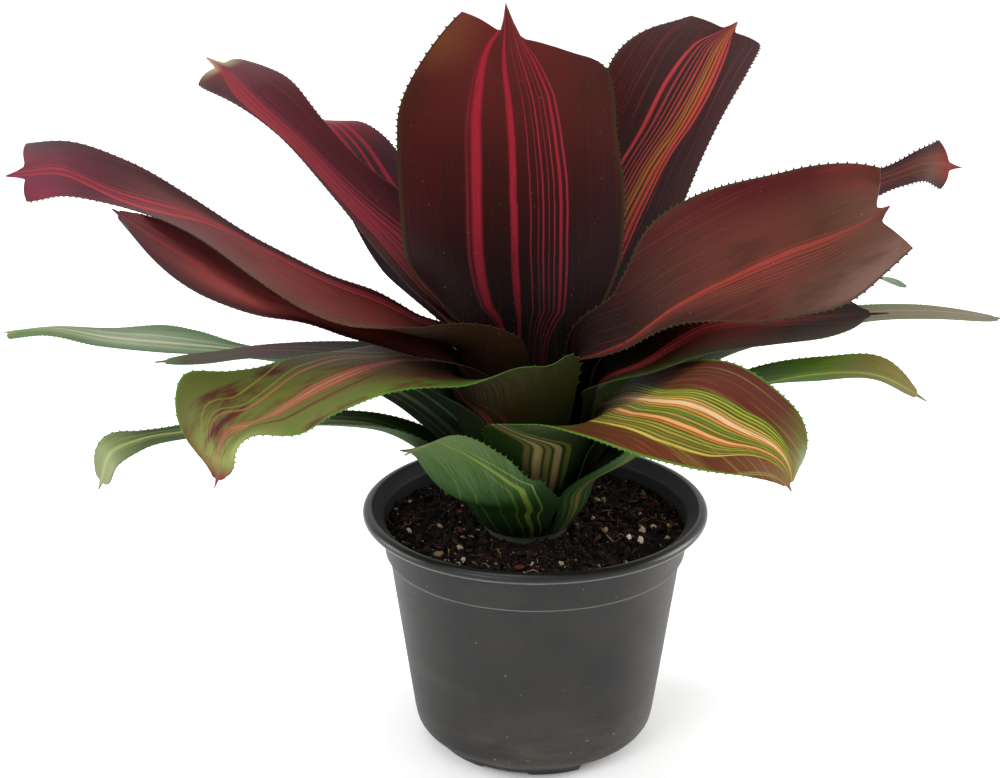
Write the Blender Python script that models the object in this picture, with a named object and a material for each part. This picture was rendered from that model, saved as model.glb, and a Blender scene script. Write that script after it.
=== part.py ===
"""A potted neoregelia: a loose rosette of twenty-four banded leaves on a short stem, in a round nursery pot.

Blender works in metres, +Z up. The lengths below are millimetres and the angles degrees, measured from the
pot's axis at the floor, and +X is the plant's right as the photograph shows it. MIDDLE then moves everything
so that the origin lies under the middle of the plant's box.
"""

import math

import bpy
import numpy as np

MM = 0.001
MIDDLE = (-18.86, 61.79)

# The pot: outer profile from the foot up, as (radius, height). It stands on three wide feet, one of them
# with a shallow notch.
POT_OUTER = [(45.5, 0), (48.2, 4.9), (51.6, 6.6), (53.6, 9.6), (54.5, 14), (64.6, 88.6), (66.5, 90.6),
             (68.3, 106.3), (74.9, 106.6), (76, 107.6), (76, 109.4), (74.6, 110.8), (72.6, 111)]
POT_INNER = [(71.2, 110.4), (66.9, 106.8), (65.1, 91.8), (63.1, 89.4), (53, 14.5), (47, 7)]
POT_UNDER_Z = 4.4
FOOT_INNER_R = 38.0
FOOT_INNER_SLOPE = 0.6
FEET = [(206, 295), (325, 54), (84, 173)]
FOOT_NOTCH = (239, 266)
NOTCH_HEIGHT = 1.3
GAP_DROP = 0.1
# The pot's columns stand a little off the X and Y axes, because its collision can't be split where they lie
# on them.
POT_STEPS = 48
STEP_SHIFT = 0.37
STEP_TURN = 0.4

# The soil fills the pot to just under the rim; the stem stands in a plain round hole in it.
SOIL_TOP = 101.4
SOIL_BOTTOM = 7.4
SOIL_GAP = 0.4
SOIL_STEPS = 48
SOIL_RINGS = [26, 38, 50, 59]
SOIL_WAVES = [(2, 0.08, 0.45), (5, -0.11, 0.27)]
HOLE_R = 19.1
HOLE_FLOOR = 86.0
HOLE_DEPTH = 40.0
STEM_R = 18.75
STEM_SHOULDER = 102.4
STEM_TOP = 140.0
STEM_TIP_R = 3.2
STEM_CROWN = 0.8
STEM_STEPS = 32

# The rosette stands a little to the left of the pot's axis. Each leaf's sheath lies on a funnel of its own,
# one layer inside the leaves that it overlaps round the stem. CLIMB_STEP spaces the midrib's points up the
# cup. The sheath opens into the blade from OPENS_AT of the way up the cup, and SLACK lets it widen there.
PLANT_X = -4.0
BASE_Z = 102.8
BASE_STEP = 2.3
BASE_R = 19.5
BASE_SHRINK = 0.95
FLARE = 0.25
BULGE = 6.0
BULGE_H = 8.0
WRAP_MARGIN = 4.0
CLIMB_STEP = 9.0
OPENS_AT = 0.75
SLACK = 20.0
LEAST_HALF_WIDTH = 0.9
LOOK_AHEAD = 1.5

# Where the tip's notch, its spine and its curl begin along the leaf, how far the last two go across it, and
# where across it the tip's corners begin to turn back.
NOTCH_FROM = 0.8
SPINE_FROM = 0.94
SPINE_HALF = 0.2
CORNER_FROM = 0.35
CURL_FROM = 0.9
CURL_HALF = 0.6

# A blade is a closed sheet, with one true-size tooth on each margin between two rows of points.
BLADE_THICK = 0.7
ROWS = [0, .07, .15, .24, .34, .44, .54, .64, .73, .81, .88, .935, .975, 1]
HEART_ROWS = [0, .15, .34, .54, .73, .88, 1]
COLS = 7
FIRST_TOOTH_ROW = 2
TOOTH_HEIGHT = 1.4
TOOTH_HALF = 0.9
TOOTH_LEAN = 0.7
MIDRIB_POINTS = 500

SHARP_ABOVE = 35
BLACK_PLASTIC = (0.02, 0.02, 0.021)
PEAT = (0.03, 0.02, 0.014)
DARK_RED = (0.10, 0.018, 0.022)
GREEN = (0.07, 0.12, 0.035)
STRIPED = (0.22, 0.16, 0.04)

# Leaves from the lowest to the heart. turn: the way it points, degrees from +X towards +Y. leave: the
# height at which its midrib parts from the cup. route: (reach, height) of the midrib after that. The other
# lists are (share of the length, value): half width, cup (degrees the section curls up at each margin),
# roll (positive lifts the left margin, seen from the stem), and left and right, which widen one side.
# wrap: the most degrees each side goes round the stem. rise: how far the sheath's margins climb above its
# midrib, with its share for each side. hold: share of the length over which the sheath opens into the blade.
# The tip rounds off from share round to end times the width, with its corners drawn back by corner, ends in
# a spine and may be notched or skewed.
LEAVES = {
    "leaf_front_curled": dict(
        turn=232, leave=118, route=[(38, 124), (49, 143), (59, 154), (68, 159), (76, 159)],
        width=[(0, 21), (.25, 32), (.5, 26), (.75, 18), (1, 12)], cup=[(0, 60), (.4, 45), (.8, 15), (1, 0)],
        roll=[(0, 0), (.6, 15), (1, 30)], left=[(0, 1.2), (.3, 1.1), (.6, 1), (1, 1)], spine=5),
    "leaf_right_low": dict(
        turn=343, leave=125, wrap=(55, 45),
        route=[(50, 140), (75, 165), (100, 178), (125, 184), (149, 187), (164, 179)],
        width=[(0, 21), (.2, 25), (.5, 14), (.8, 16), (1, 14)], cup=[(0, 60), (.4, 30), (.8, 15), (1, 10)],
        end=.5, spine=5),
    "leaf_back_low": dict(
        turn=100, leave=120, route=[(45, 128), (80, 150), (120, 160), (170, 158), (215, 140)],
        width=[(0, 21), (.2, 28), (.5, 22), (.8, 18), (1, 12)], cup=[(0, 60), (.4, 30), (.8, 15), (1, 10)]),
    "leaf_front_left_low": dict(
        turn=192, leave=125,
        route=[(40, 135), (65, 152), (86, 156), (115, 157), (145, 156), (165, 154), (177, 149), (182, 137)],
        width=[(0, 21), (.2, 28), (.5, 15), (.7, 9), (.85, 9), (.93, 13), (1, 13)],
        cup=[(0, 60), (.4, 30), (.8, 15), (1, 10)], roll=[(0, 0), (.75, -5), (.9, -15), (1, -25)],
        right=[(0, 1), (.2, .8), (.35, .55), (.5, .7), (.7, 1), (.84, .6), (.95, 1), (1, 1)],
        end=.6, spine=4),
    "leaf_back_right_low": dict(
        turn=37, leave=124, route=[(48, 143), (75, 160), (120, 171), (170, 175), (215, 178), (238, 168)],
        width=[(0, 21), (.2, 25), (.5, 18), (.8, 14), (1, 14)], cup=[(0, 60), (.4, 30), (.8, 15), (1, 10)],
        right=[(0, 1), (.2, .7), (.5, .8), (1, 1)], end=.55, spine=3),
    "leaf_left_low": dict(
        turn=160, leave=130,
        route=[(50, 150), (90, 163), (138, 166), (172, 165), (207, 164), (240, 165), (262, 161)],
        width=[(0, 21), (.2, 28), (.5, 20), (.62, 21), (.78, 13), (.9, 8), (.97, 9), (1, 10)],
        cup=[(0, 60), (.4, 30), (.8, 0), (1, -30)],
        left=[(0, 1), (.2, .75), (.4, .7), (.6, .9), (1, 1)],
        right=[(0, 1), (.2, .8), (.42, .35), (.54, .3), (.66, .85), (.76, 1.4), (.88, 1.1), (1, 1)],
        end=.7, spine=4),
    "leaf_right_outer": dict(
        turn=15, leave=140, route=[(54, 158), (89, 174), (127, 181), (155, 185), (185, 184), (224, 178)],
        width=[(0, 21), (.2, 24), (.5, 15), (.8, 12), (1, 11)], cup=[(0, 60), (.4, 30), (.8, 5), (1, 0)],
        left=[(0, 1), (.2, .8), (1, 1)], end=.5, spine=4),
    "leaf_front_right": dict(
        turn=318, leave=150, wrap=(62, 85), rise=[(0, 0), (.1, 6), (.25, 10), (.4, 0)], rises=(.5, 1),
        route=[(62, 173), (88, 180), (110, 174), (125, 166), (134, 157)],
        width=[(0, 21), (.2, 34), (.45, 34), (.7, 30), (1, 22)], cup=[(0, 60), (.4, 25), (.8, 0), (1, -5)],
        roll=[(0, 0), (.4, 8), (.7, 16), (1, 10)], left=[(0, 1), (.35, .85), (.7, .95), (.9, 1.1), (1, 1.1)],
        right=[(0, 1.3), (.3, 1.25), (.5, 1.38), (.7, 1.4), (.8, 1.2), (.9, .9), (1, .5)], spine=3),
    "leaf_left_small": dict(
        turn=177, leave=160, route=[(43, 169), (62, 176), (90, 180), (115, 180), (140, 176), (157, 174)],
        width=[(0, 21), (.2, 32), (.5, 24), (.8, 12), (1, 8)], cup=[(0, 60), (.4, 20), (.8, 5), (1, 0)],
        right=[(0, 1), (.3, .9), (.6, .6), (.8, .5), (1, 1)], end=.6, spine=5),
    "leaf_front_left": dict(
        turn=211, leave=175, wrap=(95, 55), rise=[(0, 0), (.15, 16), (.3, 30), (.4, 24), (.55, 0)],
        rises=(1, .2), route=[(50, 182), (73, 185), (98, 182), (121, 176), (138, 167), (144, 153)],
        width=[(0, 21), (.2, 32), (.45, 30), (.7, 31), (.9, 28), (1, 24)],
        cup=[(0, 70), (.18, 70), (.3, 55), (.42, 10), (.8, 0), (1, -5)],
        roll=[(0, 0), (.4, -3), (.7, -10), (1, -35)],
        left=[(0, 1.4), (.2, 1.6), (.3, 1.4), (.42, .85), (.7, .6), (.8, .6), (.87, .2), (.93, .2), (1, .5)],
        right=[(0, 1), (.5, 1), (.68, 1), (.77, .95), (.84, 1.2), (.89, 1.5), (.95, 1.05), (1, .6)],
        hold=.12, spine=4),
    "leaf_back_right_mid": dict(
        turn=75, leave=165, route=[(52, 180), (85, 196), (125, 198), (160, 184)],
        width=[(0, 21), (.2, 32), (.5, 28), (.8, 24), (1, 14)], cup=[(0, 60), (.4, 30), (.8, 15), (1, 10)]),
    "leaf_right_mid": dict(
        turn=0, leave=170, wrap=(62, 35), route=[(53, 182), (74, 191), (99, 195), (125, 197), (146, 198)],
        width=[(0, 21), (.2, 32), (.5, 32), (.8, 26), (1, 14)], cup=[(0, 60), (.4, 30), (.8, 20), (1, 10)],
        roll=[(0, 0), (.5, 12), (1, 15)], left=[(0, 1), (.3, .8), (.6, .8), (1, 1)]),
    "leaf_back_left_mid": dict(
        turn=115, leave=176, wrap=(38, 50), route=[(50, 187), (75, 197), (115, 200), (155, 190)],
        width=[(0, 21), (.2, 30), (.5, 26), (.8, 20), (1, 13)], cup=[(0, 60), (.4, 30), (.8, 15), (1, 10)],
        left=[(0, 1), (.3, .8), (1, 1)]),
    "leaf_left_mid": dict(
        turn=194, leave=178, route=[(57, 192), (84, 202), (116, 217), (144, 235.5), (167, 252.5)],
        width=[(0, 20), (.2, 26), (.4, 22), (.62, 30), (.82, 27), (1, 12)],
        cup=[(0, 60), (.4, 20), (.8, 10), (1, 10)], roll=[(0, 0), (.4, -12), (1, -18)],
        left=[(0, 1), (.35, 1), (.5, .5), (.6, .35), (.7, .65), (.8, 1), (.9, 1.6), (1, 2.6)],
        right=[(0, 1), (.3, .5), (.65, .5), (.8, .68), (.92, .85), (1, 1)], round=.75, spine=3),
    "leaf_right_narrow": dict(
        turn=25, leave=178, wrap=(60, 45),
        route=[(52, 190), (85, 211), (126, 227), (163, 235), (188, 240), (204, 243), (218, 241)],
        width=[(0, 20), (.2, 32), (.5, 24), (.75, 11), (.88, 6), (.95, 9), (1, 15)],
        cup=[(0, 60), (.4, 30), (.75, 30), (.9, 10), (1, -20)],
        roll=[(0, 0), (.5, 5), (.75, 30), (1, 70)], left=[(0, 1), (.15, .8), (.3, .7), (.5, .85), (1, .9)],
        right=[(0, 1), (.9, 1), (1, .75)], notch=-2, end=.95, corner=2),
    "leaf_back_left": dict(
        turn=129, leave=178, wrap=(45, 45),
        route=[(65, 200), (88, 216), (112, 236), (130, 249), (146, 256), (158, 256)],
        width=[(0, 20), (.2, 32), (.5, 34), (.8, 26), (1, 20)], cup=[(0, 60), (.4, 40), (.8, 25), (1, -10)],
        left=[(0, .7), (.3, .53), (.48, 1.08), (.6, 1.05), (1, 1)],
        right=[(0, 1), (.25, .7), (.4, .65), (.7, .7), (1, .9)], end=.6),
    "leaf_back_right": dict(
        turn=53, leave=182, wrap=(50, 58),
        route=[(60, 200), (85, 225), (110, 253), (132, 277), (150, 292), (162, 298)],
        width=[(0, 20), (.2, 32), (.5, 37), (.75, 38), (1, 34)], cup=[(0, 60), (.4, 35), (.8, 25), (1, 0)],
        left=[(0, 1), (.3, .8), (.5, 1), (.75, 1.06), (.9, 1.3), (1, 1.3)],
        right=[(0, 1), (.2, .85), (.45, .75), (.6, .62), (.72, .6), (.82, .66), (.92, .78), (1, .95)],
        round=.8, end=.6, notch=4, skew=8, corner=3),
    "leaf_left_long": dict(
        turn=184, leave=182, wrap=(100, 62), rise=[(0, 0), (.1, 12), (.2, 26), (.3, 18), (.45, 0)],
        rises=(1, 0), route=[(50, 193), (79, 205), (111, 224), (143, 245), (171, 258), (190, 263), (205, 262)],
        width=[(0, 20), (.2, 30), (.5, 30), (.8, 18), (.92, 16), (1, 18)],
        cup=[(0, 60), (.12, 70), (.25, 50), (.4, 20), (.8, 10), (1, -15)],
        roll=[(0, 0), (.3, 0), (.5, -8), (.8, -10), (1, -30)],
        left=[(0, 1.5), (.15, 1.3), (.4, 1.1), (.68, 1), (.78, 1.15), (.88, 1.05), (1, 1)],
        right=[(0, 1), (.2, .52), (.3, .47), (.4, .7), (.5, .6), (.7, .68), (.82, 1.1), (.92, 1.5), (1, 1.9)],
        hold=.12, end=.8, notch=4, skew=-2, corner=3),
    "leaf_left_high": dict(
        turn=150, leave=188, wrap=(54, 62),
        route=[(51, 207), (66, 220), (92, 243), (118, 266), (137, 280), (152, 287), (159, 290)],
        width=[(0, 20), (.2, 30), (.5, 30), (.8, 19), (.92, 20), (1, 22)],
        cup=[(0, 60), (.4, 30), (.8, 15), (1, -10)],
        left=[(0, 1), (.18, .66), (.3, .6), (.45, .62), (.6, .62), (.75, .85), (.9, 1.25), (1, 1.3)],
        right=[(0, 1), (.5, 1), (.7, .8), (.84, 1.05), (.93, 1.4), (1, 1.55)],
        end=.75, notch=3, skew=-5, corner=4),
    "leaf_back_tall": dict(
        turn=96, leave=188, wrap=(48, 62), route=[(34, 208), (43, 234), (53, 262), (63, 286), (71, 305)],
        width=[(0, 20), (.15, 32), (.35, 48), (.55, 54), (.8, 51.5), (1, 47)],
        cup=[(0, 60), (.2, 100), (.3, 84), (.42, 45), (.6, 25), (.85, 15), (1, 0)],
        left=[(0, 1), (.22, .6), (.4, 1), (.6, .98), (.85, 1), (1, .88)],
        right=[(0, 1), (.4, .9), (.6, .89), (.85, .93), (1, 1.22)],
        round=.78, end=.5, notch=4, skew=10, spine=20, curl=-30),
    "leaf_right_broad": dict(
        turn=347, leave=184, wrap=(105, 62),
        route=[(45, 196), (66, 211), (90, 225), (114, 237), (132, 245), (143, 249)],
        width=[(0, 20), (.2, 28), (.4, 27), (.65, 40), (.85, 40), (1, 36)],
        cup=[(0, 60), (.14, 100), (.26, 70), (.4, 30), (.8, 15), (1, 5)],
        roll=[(0, 0), (.35, 30), (.6, 45), (1, 45)],
        left=[(0, 1.4), (.12, 1.2), (.22, .75), (.32, .55), (.42, .85), (.52, 1.1), (.62, 1), (.8, .83),
              (1, .8)],
        right=[(0, 1.2), (.2, .9), (.3, .7), (.45, .38), (.6, .52), (.7, .72), (.8, .85), (.9, .92), (1, .7)],
        hold=.12, round=.85, end=.75, notch=12, skew=-3, curl=40, corner=4),
    "leaf_heart_left": dict(
        turn=205, leave=150, route=[(15, 154), (16, 160)], heart=True,
        width=[(0, 8), (.5, 9), (1, 6)], cup=[(0, 60), (.5, 60), (1, 30)]),
    "leaf_heart_right": dict(
        turn=320, leave=150, route=[(13, 155), (14, 160)], heart=True,
        width=[(0, 8), (.5, 9), (1, 6)], cup=[(0, 60), (.5, 60), (1, 30)]),
    "leaf_heart_back": dict(
        turn=80, leave=152, route=[(10, 157), (11, 162)], heart=True,
        width=[(0, 7), (.5, 8), (1, 5)], cup=[(0, 60), (.5, 60), (1, 30)]),
}
USUAL = dict(roll=[(0, 0), (1, 0)], left=[(0, 1), (1, 1)], right=[(0, 1), (1, 1)], wrap=(62, 62),
             rise=[(0, 0), (1, 0)], rises=(1, 1), hold=.22, round=.84, end=.3, notch=0, skew=0,
             spine=8, curl=0, corner=3, heart=False)
RED_LEAVES = {"leaf_back_left_mid", "leaf_left_mid", "leaf_right_narrow", "leaf_back_left", "leaf_back_right",
              "leaf_left_long", "leaf_left_high", "leaf_back_tall", "leaf_right_broad", "leaf_right_mid"}
STRIPED_LEAVES = {"leaf_front_right", "leaf_front_left", "leaf_left_small"}


def smooth_curve(knots, values, at):
    """Values at the places at, on a smooth curve through (knots, values)."""
    knots = np.asarray(knots, float)
    values = np.asarray(values, float).reshape(len(knots), -1)
    step = np.diff(knots)
    rise = np.diff(values, axis=0) / step[:, None]
    slope = np.empty_like(values)
    slope[0] = rise[0]
    slope[-1] = rise[-1]
    share = (step[:-1] / (step[:-1] + step[1:]))[:, None]
    slope[1:-1] = rise[:-1] * (1 - share) + rise[1:] * share
    at = np.clip(at, knots[0], knots[-1])
    i = np.clip(np.searchsorted(knots, at, side="right") - 1, 0, len(step) - 1)
    t = ((at - knots[i]) / step[i])[:, None]
    h = step[i][:, None]
    return ((2 * t**3 - 3 * t**2 + 1) * values[i] + (t**3 - 2 * t**2 + t) * h * slope[i]
            + (3 * t**2 - 2 * t**3) * values[i + 1] + (t**3 - t**2) * h * slope[i + 1])


def along(pairs, at):
    """One value for each place, from a leaf's list of (share of the length, value)."""
    knots, values = zip(*pairs)
    return smooth_curve(knots, values, at)[:, 0]


def unit(vectors):
    return vectors / np.linalg.norm(vectors, axis=-1, keepdims=True)


def set_layers(leaves):
    """Gives each leaf its layer: one inside every lower leaf whose sheath it overlaps round the stem."""
    placed = []
    for leaf in leaves.values():
        left, right = leaf["wrap"]
        middle = leaf["turn"] + (left - right) / 2
        half = (left + right) / 2
        leaf["layer"] = 0
        for other_middle, other_half, other_layer in placed:
            apart = abs((middle - other_middle + 180) % 360 - 180)
            if apart < half + other_half + WRAP_MARGIN:
                leaf["layer"] = max(leaf["layer"], other_layer + 1)
        placed.append((middle, half, leaf["layer"]))


def base_height(layer):
    return BASE_Z + BASE_STEP * layer


def funnel_radius(layer, z):
    """Radius of a layer's funnel round the stem at height z."""
    above = np.maximum(z - base_height(layer), 0)
    return BASE_R - BASE_SHRINK * layer + FLARE * above + BULGE * (1 - np.exp(-above / BULGE_H))


def midrib(leaf):
    """Points of the midrib from base to tip, the length run at each, and the share of it in the cup."""
    layer = leaf["layer"]
    foot = base_height(layer)
    climb = np.linspace(foot, leaf["leave"], max(2, round((leaf["leave"] - foot) / CLIMB_STEP) + 1))
    path = np.array([(funnel_radius(layer, z), z) for z in climb] + leaf["route"], float)
    chord = np.concatenate([[0], np.cumsum(np.linalg.norm(np.diff(path, axis=0), axis=1))])
    steps = np.linspace(0, chord[-1], MIDRIB_POINTS)
    fine = smooth_curve(chord, path, steps)
    run = np.concatenate([[0], np.cumsum(np.linalg.norm(np.diff(fine, axis=0), axis=1))])
    in_cup = float(np.interp(chord[len(climb) - 1], steps, run) / run[-1])
    turn = math.radians(leaf["turn"])
    points = np.stack([PLANT_X + fine[:, 0] * math.cos(turn), fine[:, 0] * math.sin(turn), fine[:, 1]], -1)
    return points, run, in_cup


def frames(leaf, at):
    """At each share of the length: the midrib's point, its direction, the leaf's side and upper normal."""
    points, run, in_cup = midrib(leaf)
    place = at * run[-1]
    centre, ahead, behind = (np.stack([np.interp(np.clip(place + d, 0, run[-1]), run, points[:, i])
                                       for i in range(3)], -1) for d in (0, LOOK_AHEAD, -LOOK_AHEAD))
    forward = unit(ahead - behind)
    turn = math.radians(leaf["turn"])
    level = np.array([-math.sin(turn), math.cos(turn), 0])
    side = unit(level - (forward @ level)[:, None] * forward)
    normal = np.cross(forward, side)
    roll = np.radians(along(leaf["roll"], at))[:, None]
    tilted = side * np.cos(roll) + normal * np.sin(roll)
    normal = normal * np.cos(roll) - side * np.sin(roll)
    return centre, forward, tilted, normal, in_cup


def half_width(leaf, at):
    past = np.clip((at - leaf["round"]) / (1 - leaf["round"]), 0, 1)
    taper = np.sqrt(1 - (1 - leaf["end"] ** 2) * past**2)
    return np.maximum(along(leaf["width"], at) * taper, LEAST_HALF_WIDTH)


def tip_reach(leaf, at, across):
    """How far each point goes forward and up beyond its row: the notch, the skew, round corners, the spine."""
    out = np.abs(across)[None, :]
    late, last, bent = (np.clip((at - start) / (1 - start), 0, 1)[:, None]
                        for start in (NOTCH_FROM, SPINE_FROM, CURL_FROM))
    go = late**2 * (leaf["notch"] * out**1.5 + leaf["skew"] * across[None, :])
    go = go - late**4 * leaf["corner"] * np.clip((out - CORNER_FROM) / (1 - CORNER_FROM), 0, 1) ** 2
    go = go + last**2 * leaf["spine"] * np.clip(1 - out / SPINE_HALF, 0, 1) ** 1.6
    bend = bent * np.clip(1 - out / CURL_HALF, 0, 1)
    angle = math.radians(leaf["curl"]) * bend
    return go * np.cos(angle), go * np.sin(angle)


def sheet_of(leaf, at, across):
    """The blade's middle surface as rows of points from base to tip, each from its right margin to its left."""
    centre, forward, side, normal, in_cup = frames(leaf, at)
    width = half_width(leaf, at)
    from_axis = centre - np.array([PLANT_X, 0, 0])
    ring = np.hypot(from_axis[:, 0], from_axis[:, 1])
    free = np.clip((at - in_cup * OPENS_AT) / leaf["hold"], 0, 1)
    free = free * free * (3 - 2 * free)
    slack = free / np.maximum(1 - free, 1e-3) * SLACK
    left, right = (np.minimum(width * along(leaf[key], at), ring * math.radians(most) + slack)
                   for key, most in zip(("left", "right"), leaf["wrap"]))
    out = across[None, :] * np.where(across[None, :] > 0, left[:, None], right[:, None])
    bend = np.radians(along(leaf["cup"], at)) / width
    bend = np.where(np.abs(bend) < 1e-6, 1e-6, bend)[:, None]
    wide = np.sin(bend * out) / bend
    lift = (1 - np.cos(bend * out)) / bend
    go, climb = tip_reach(leaf, at, across)
    blade = (centre[:, None] + side[:, None] * wide[..., None] + normal[:, None] * (lift + climb)[..., None]
             + forward[:, None] * go[..., None])
    rises = np.where(across > 0, leaf["rises"][0], leaf["rises"][1])
    z = centre[:, 2:] + along(leaf["rise"], at)[:, None] * across**2 * rises
    turn = np.arctan2(from_axis[:, 1], from_axis[:, 0])[:, None] + out / ring[:, None]
    radius = funnel_radius(leaf["layer"], z) + (ring - funnel_radius(leaf["layer"], centre[:, 2]))[:, None]
    sheath = np.stack([PLANT_X + radius * np.cos(turn), radius * np.sin(turn), z], -1)
    share = free[:, None, None]
    return sheath * (1 - share) + blade * share


class Blade:
    """Points and triangles of one closed leaf, built from its middle surface."""

    def __init__(self, sheet):
        self.sheet = sheet
        self.rows, self.cols = sheet.shape[:2]
        normal = unit(np.cross(np.gradient(sheet, axis=0), np.gradient(sheet, axis=1)))
        self.lift = normal * BLADE_THICK / 2
        count = self.rows * self.cols
        self.points = list((sheet + self.lift).reshape(-1, 3)) + list((sheet - self.lift).reshape(-1, 3))
        self.under = {k: k + count for k in range(count)}
        self.upper = []

    def add_pair(self, upper, lower):
        self.points += [upper, lower]
        self.under[len(self.points) - 2] = len(self.points) - 1
        return len(self.points) - 2

    def add_tip(self, point):
        self.points.append(point)
        self.under[len(self.points) - 1] = len(self.points) - 1
        return len(self.points) - 1

    def tooth(self, i, margin, inner):
        """A tooth halfway between rows i and i + 1: the upper points of its two feet, and its tip."""
        start, end = self.sheet[i, margin], self.sheet[i + 1, margin]
        length = np.linalg.norm(end - start)
        forward = (end - start) / length
        outward = unit(start - self.sheet[i, inner] + end - self.sheet[i + 1, inner])
        half = min(TOOTH_HALF, 0.2 * length) / length
        feet = []
        for share in (0.5 - half, 0.5 + half):
            on_edge = start * (1 - share) + end * share
            lift = self.lift[i, margin] * (1 - share) + self.lift[i + 1, margin] * share
            feet.append(self.add_pair(on_edge + lift, on_edge - lift))
        tip = (start + end) / 2 + outward * TOOTH_HEIGHT + forward * TOOTH_LEAN
        return feet[0], feet[1], self.add_tip(tip)

    def margin_faces(self, i, margin, inner):
        outer, outer_ahead = i * self.cols + margin, (i + 1) * self.cols + margin
        inside, inside_ahead = i * self.cols + inner, (i + 1) * self.cols + inner
        if i < FIRST_TOOTH_ROW:
            faces = [(inside, inside_ahead, outer_ahead), (inside, outer_ahead, outer)]
        else:
            near, far, tip = self.tooth(i, margin, inner)
            faces = [(inside, near, outer), (inside, far, near), (inside_ahead, outer_ahead, far),
                     (inside, inside_ahead, far), (near, far, tip)]
        return faces if margin > inner else [(a, c, b) for a, b, c in faces]

    def walls(self):
        """The faces round the sheet's edge, between its upper and lower sides."""
        edges = {edge for a, b, c in self.upper for edge in ((a, b), (b, c), (c, a))}
        faces = []
        for a, b in sorted(edge for edge in edges if edge[::-1] not in edges):
            low_a, low_b = self.under[a], self.under[b]
            if low_a != a:
                faces.append((b, a, low_a))
            if low_b != b:
                faces.append((b, low_a, low_b))
        return faces

    def mesh(self):
        for i in range(self.rows - 1):
            for j in range(1, self.cols - 2):
                here, ahead = i * self.cols + j, (i + 1) * self.cols + j
                self.upper += [(here, ahead, ahead + 1), (here, ahead + 1, here + 1)]
            self.upper += self.margin_faces(i, 0, 1)
            self.upper += self.margin_faces(i, self.cols - 1, self.cols - 2)
        lower = [(self.under[a], self.under[c], self.under[b]) for a, b, c in self.upper]
        return self.points, self.upper + lower + self.walls()


def turned(columns):
    """A closed body from profile columns [(radius, height), ...], each at its own turn: (degrees, profile).

    Every profile starts and ends on the axis, where the columns share one point.
    """
    size = len(columns[0][1]) - 2
    points = [(0, 0, columns[0][1][0][1]), (0, 0, columns[0][1][-1][1])]
    for turn, profile in columns:
        angle = math.radians(turn)
        points += [(r * math.cos(angle), r * math.sin(angle), z) for r, z in profile[1:-1]]
    faces = []
    for k in range(len(columns)):
        here, ahead = 2 + k * size, 2 + (k + 1) % len(columns) * size
        faces.append((0, ahead, here))
        faces += [(here + i, ahead + i, ahead + i + 1, here + i + 1) for i in range(size - 1)]
        faces.append((here + size - 1, ahead + size - 1, 1))
    return points, faces


def between(turn, span):
    return (turn - span[0]) % 360 < (span[1] - span[0]) % 360


def foot_height(turn):
    """Height of the pot's lowest ring at this turn: the floor under a foot, the notch, or a gap between feet."""
    if between(turn, FOOT_NOTCH):
        return NOTCH_HEIGHT
    if any(between(turn, foot) for foot in FEET):
        return 0
    return POT_UNDER_Z - GAP_DROP


def pot_profile(turn):
    foot_z = foot_height(turn)
    (low_r, low_z), (high_r, high_z) = POT_OUTER[:2]
    outer_r = low_r + (high_r - low_r) * foot_z / (high_z - low_z)
    foot = [(FOOT_INNER_R - FOOT_INNER_SLOPE, POT_UNDER_Z), (FOOT_INNER_R, foot_z), (outer_r, foot_z)]
    return [(0, POT_UNDER_Z)] + foot + POT_OUTER[1:] + POT_INNER + [(0, POT_INNER[-1][1])]


def pot_turns():
    """The turns of the pot's columns, with a close pair at each edge of a foot or of the notch."""
    steps = [360 * (k + STEP_SHIFT) / POT_STEPS for k in range(POT_STEPS)]
    edges = [edge for span in FEET + [FOOT_NOTCH] for edge in span]
    steps = [s for s in steps if all(abs((s - e + 180) % 360 - 180) > 1 for e in edges)]
    return sorted(steps + [(e + side * STEP_TURN / 2) % 360 for e in edges for side in (-1, 1)])


def add_object(name, points, faces, color, roughness):
    mesh = bpy.data.meshes.new(name)
    placed = [((x - MIDDLE[0]) * MM, (y - MIDDLE[1]) * MM, z * MM) for x, y, z in points]
    mesh.from_pydata(placed, [], faces)
    mesh.validate()
    mesh.shade_smooth()
    mesh.set_sharp_from_angle(angle=math.radians(SHARP_ABOVE))
    material = bpy.data.materials.new(name)
    material.use_nodes = True
    shader = material.node_tree.nodes["Principled BSDF"]
    shader.inputs["Base Color"].default_value = (*color, 1)
    shader.inputs["Roughness"].default_value = roughness
    mesh.materials.append(material)
    obj = bpy.data.objects.new(name, mesh)
    bpy.context.scene.collection.objects.link(obj)
    return obj


def make_pot():
    points, faces = turned([(turn, pot_profile(turn)) for turn in pot_turns()])
    add_object("pot", points, faces, BLACK_PLASTIC, 0.45)


def soil_radius(z):
    """The widest the soil goes at height z, a gap inside the pot's inner wall."""
    inner = sorted((height, radius) for radius, height in POT_INNER)
    return float(np.interp(z, [h for h, _ in inner], [r for _, r in inner])) - SOIL_GAP


def soil_height(radius, turn):
    """The soil's top: level at the wall and at the stem, gently uneven between them."""
    angle = math.radians(turn)
    return SOIL_TOP + sum(height * math.sin(times * angle + skew * radius) for times, skew, height in SOIL_WAVES)


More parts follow.
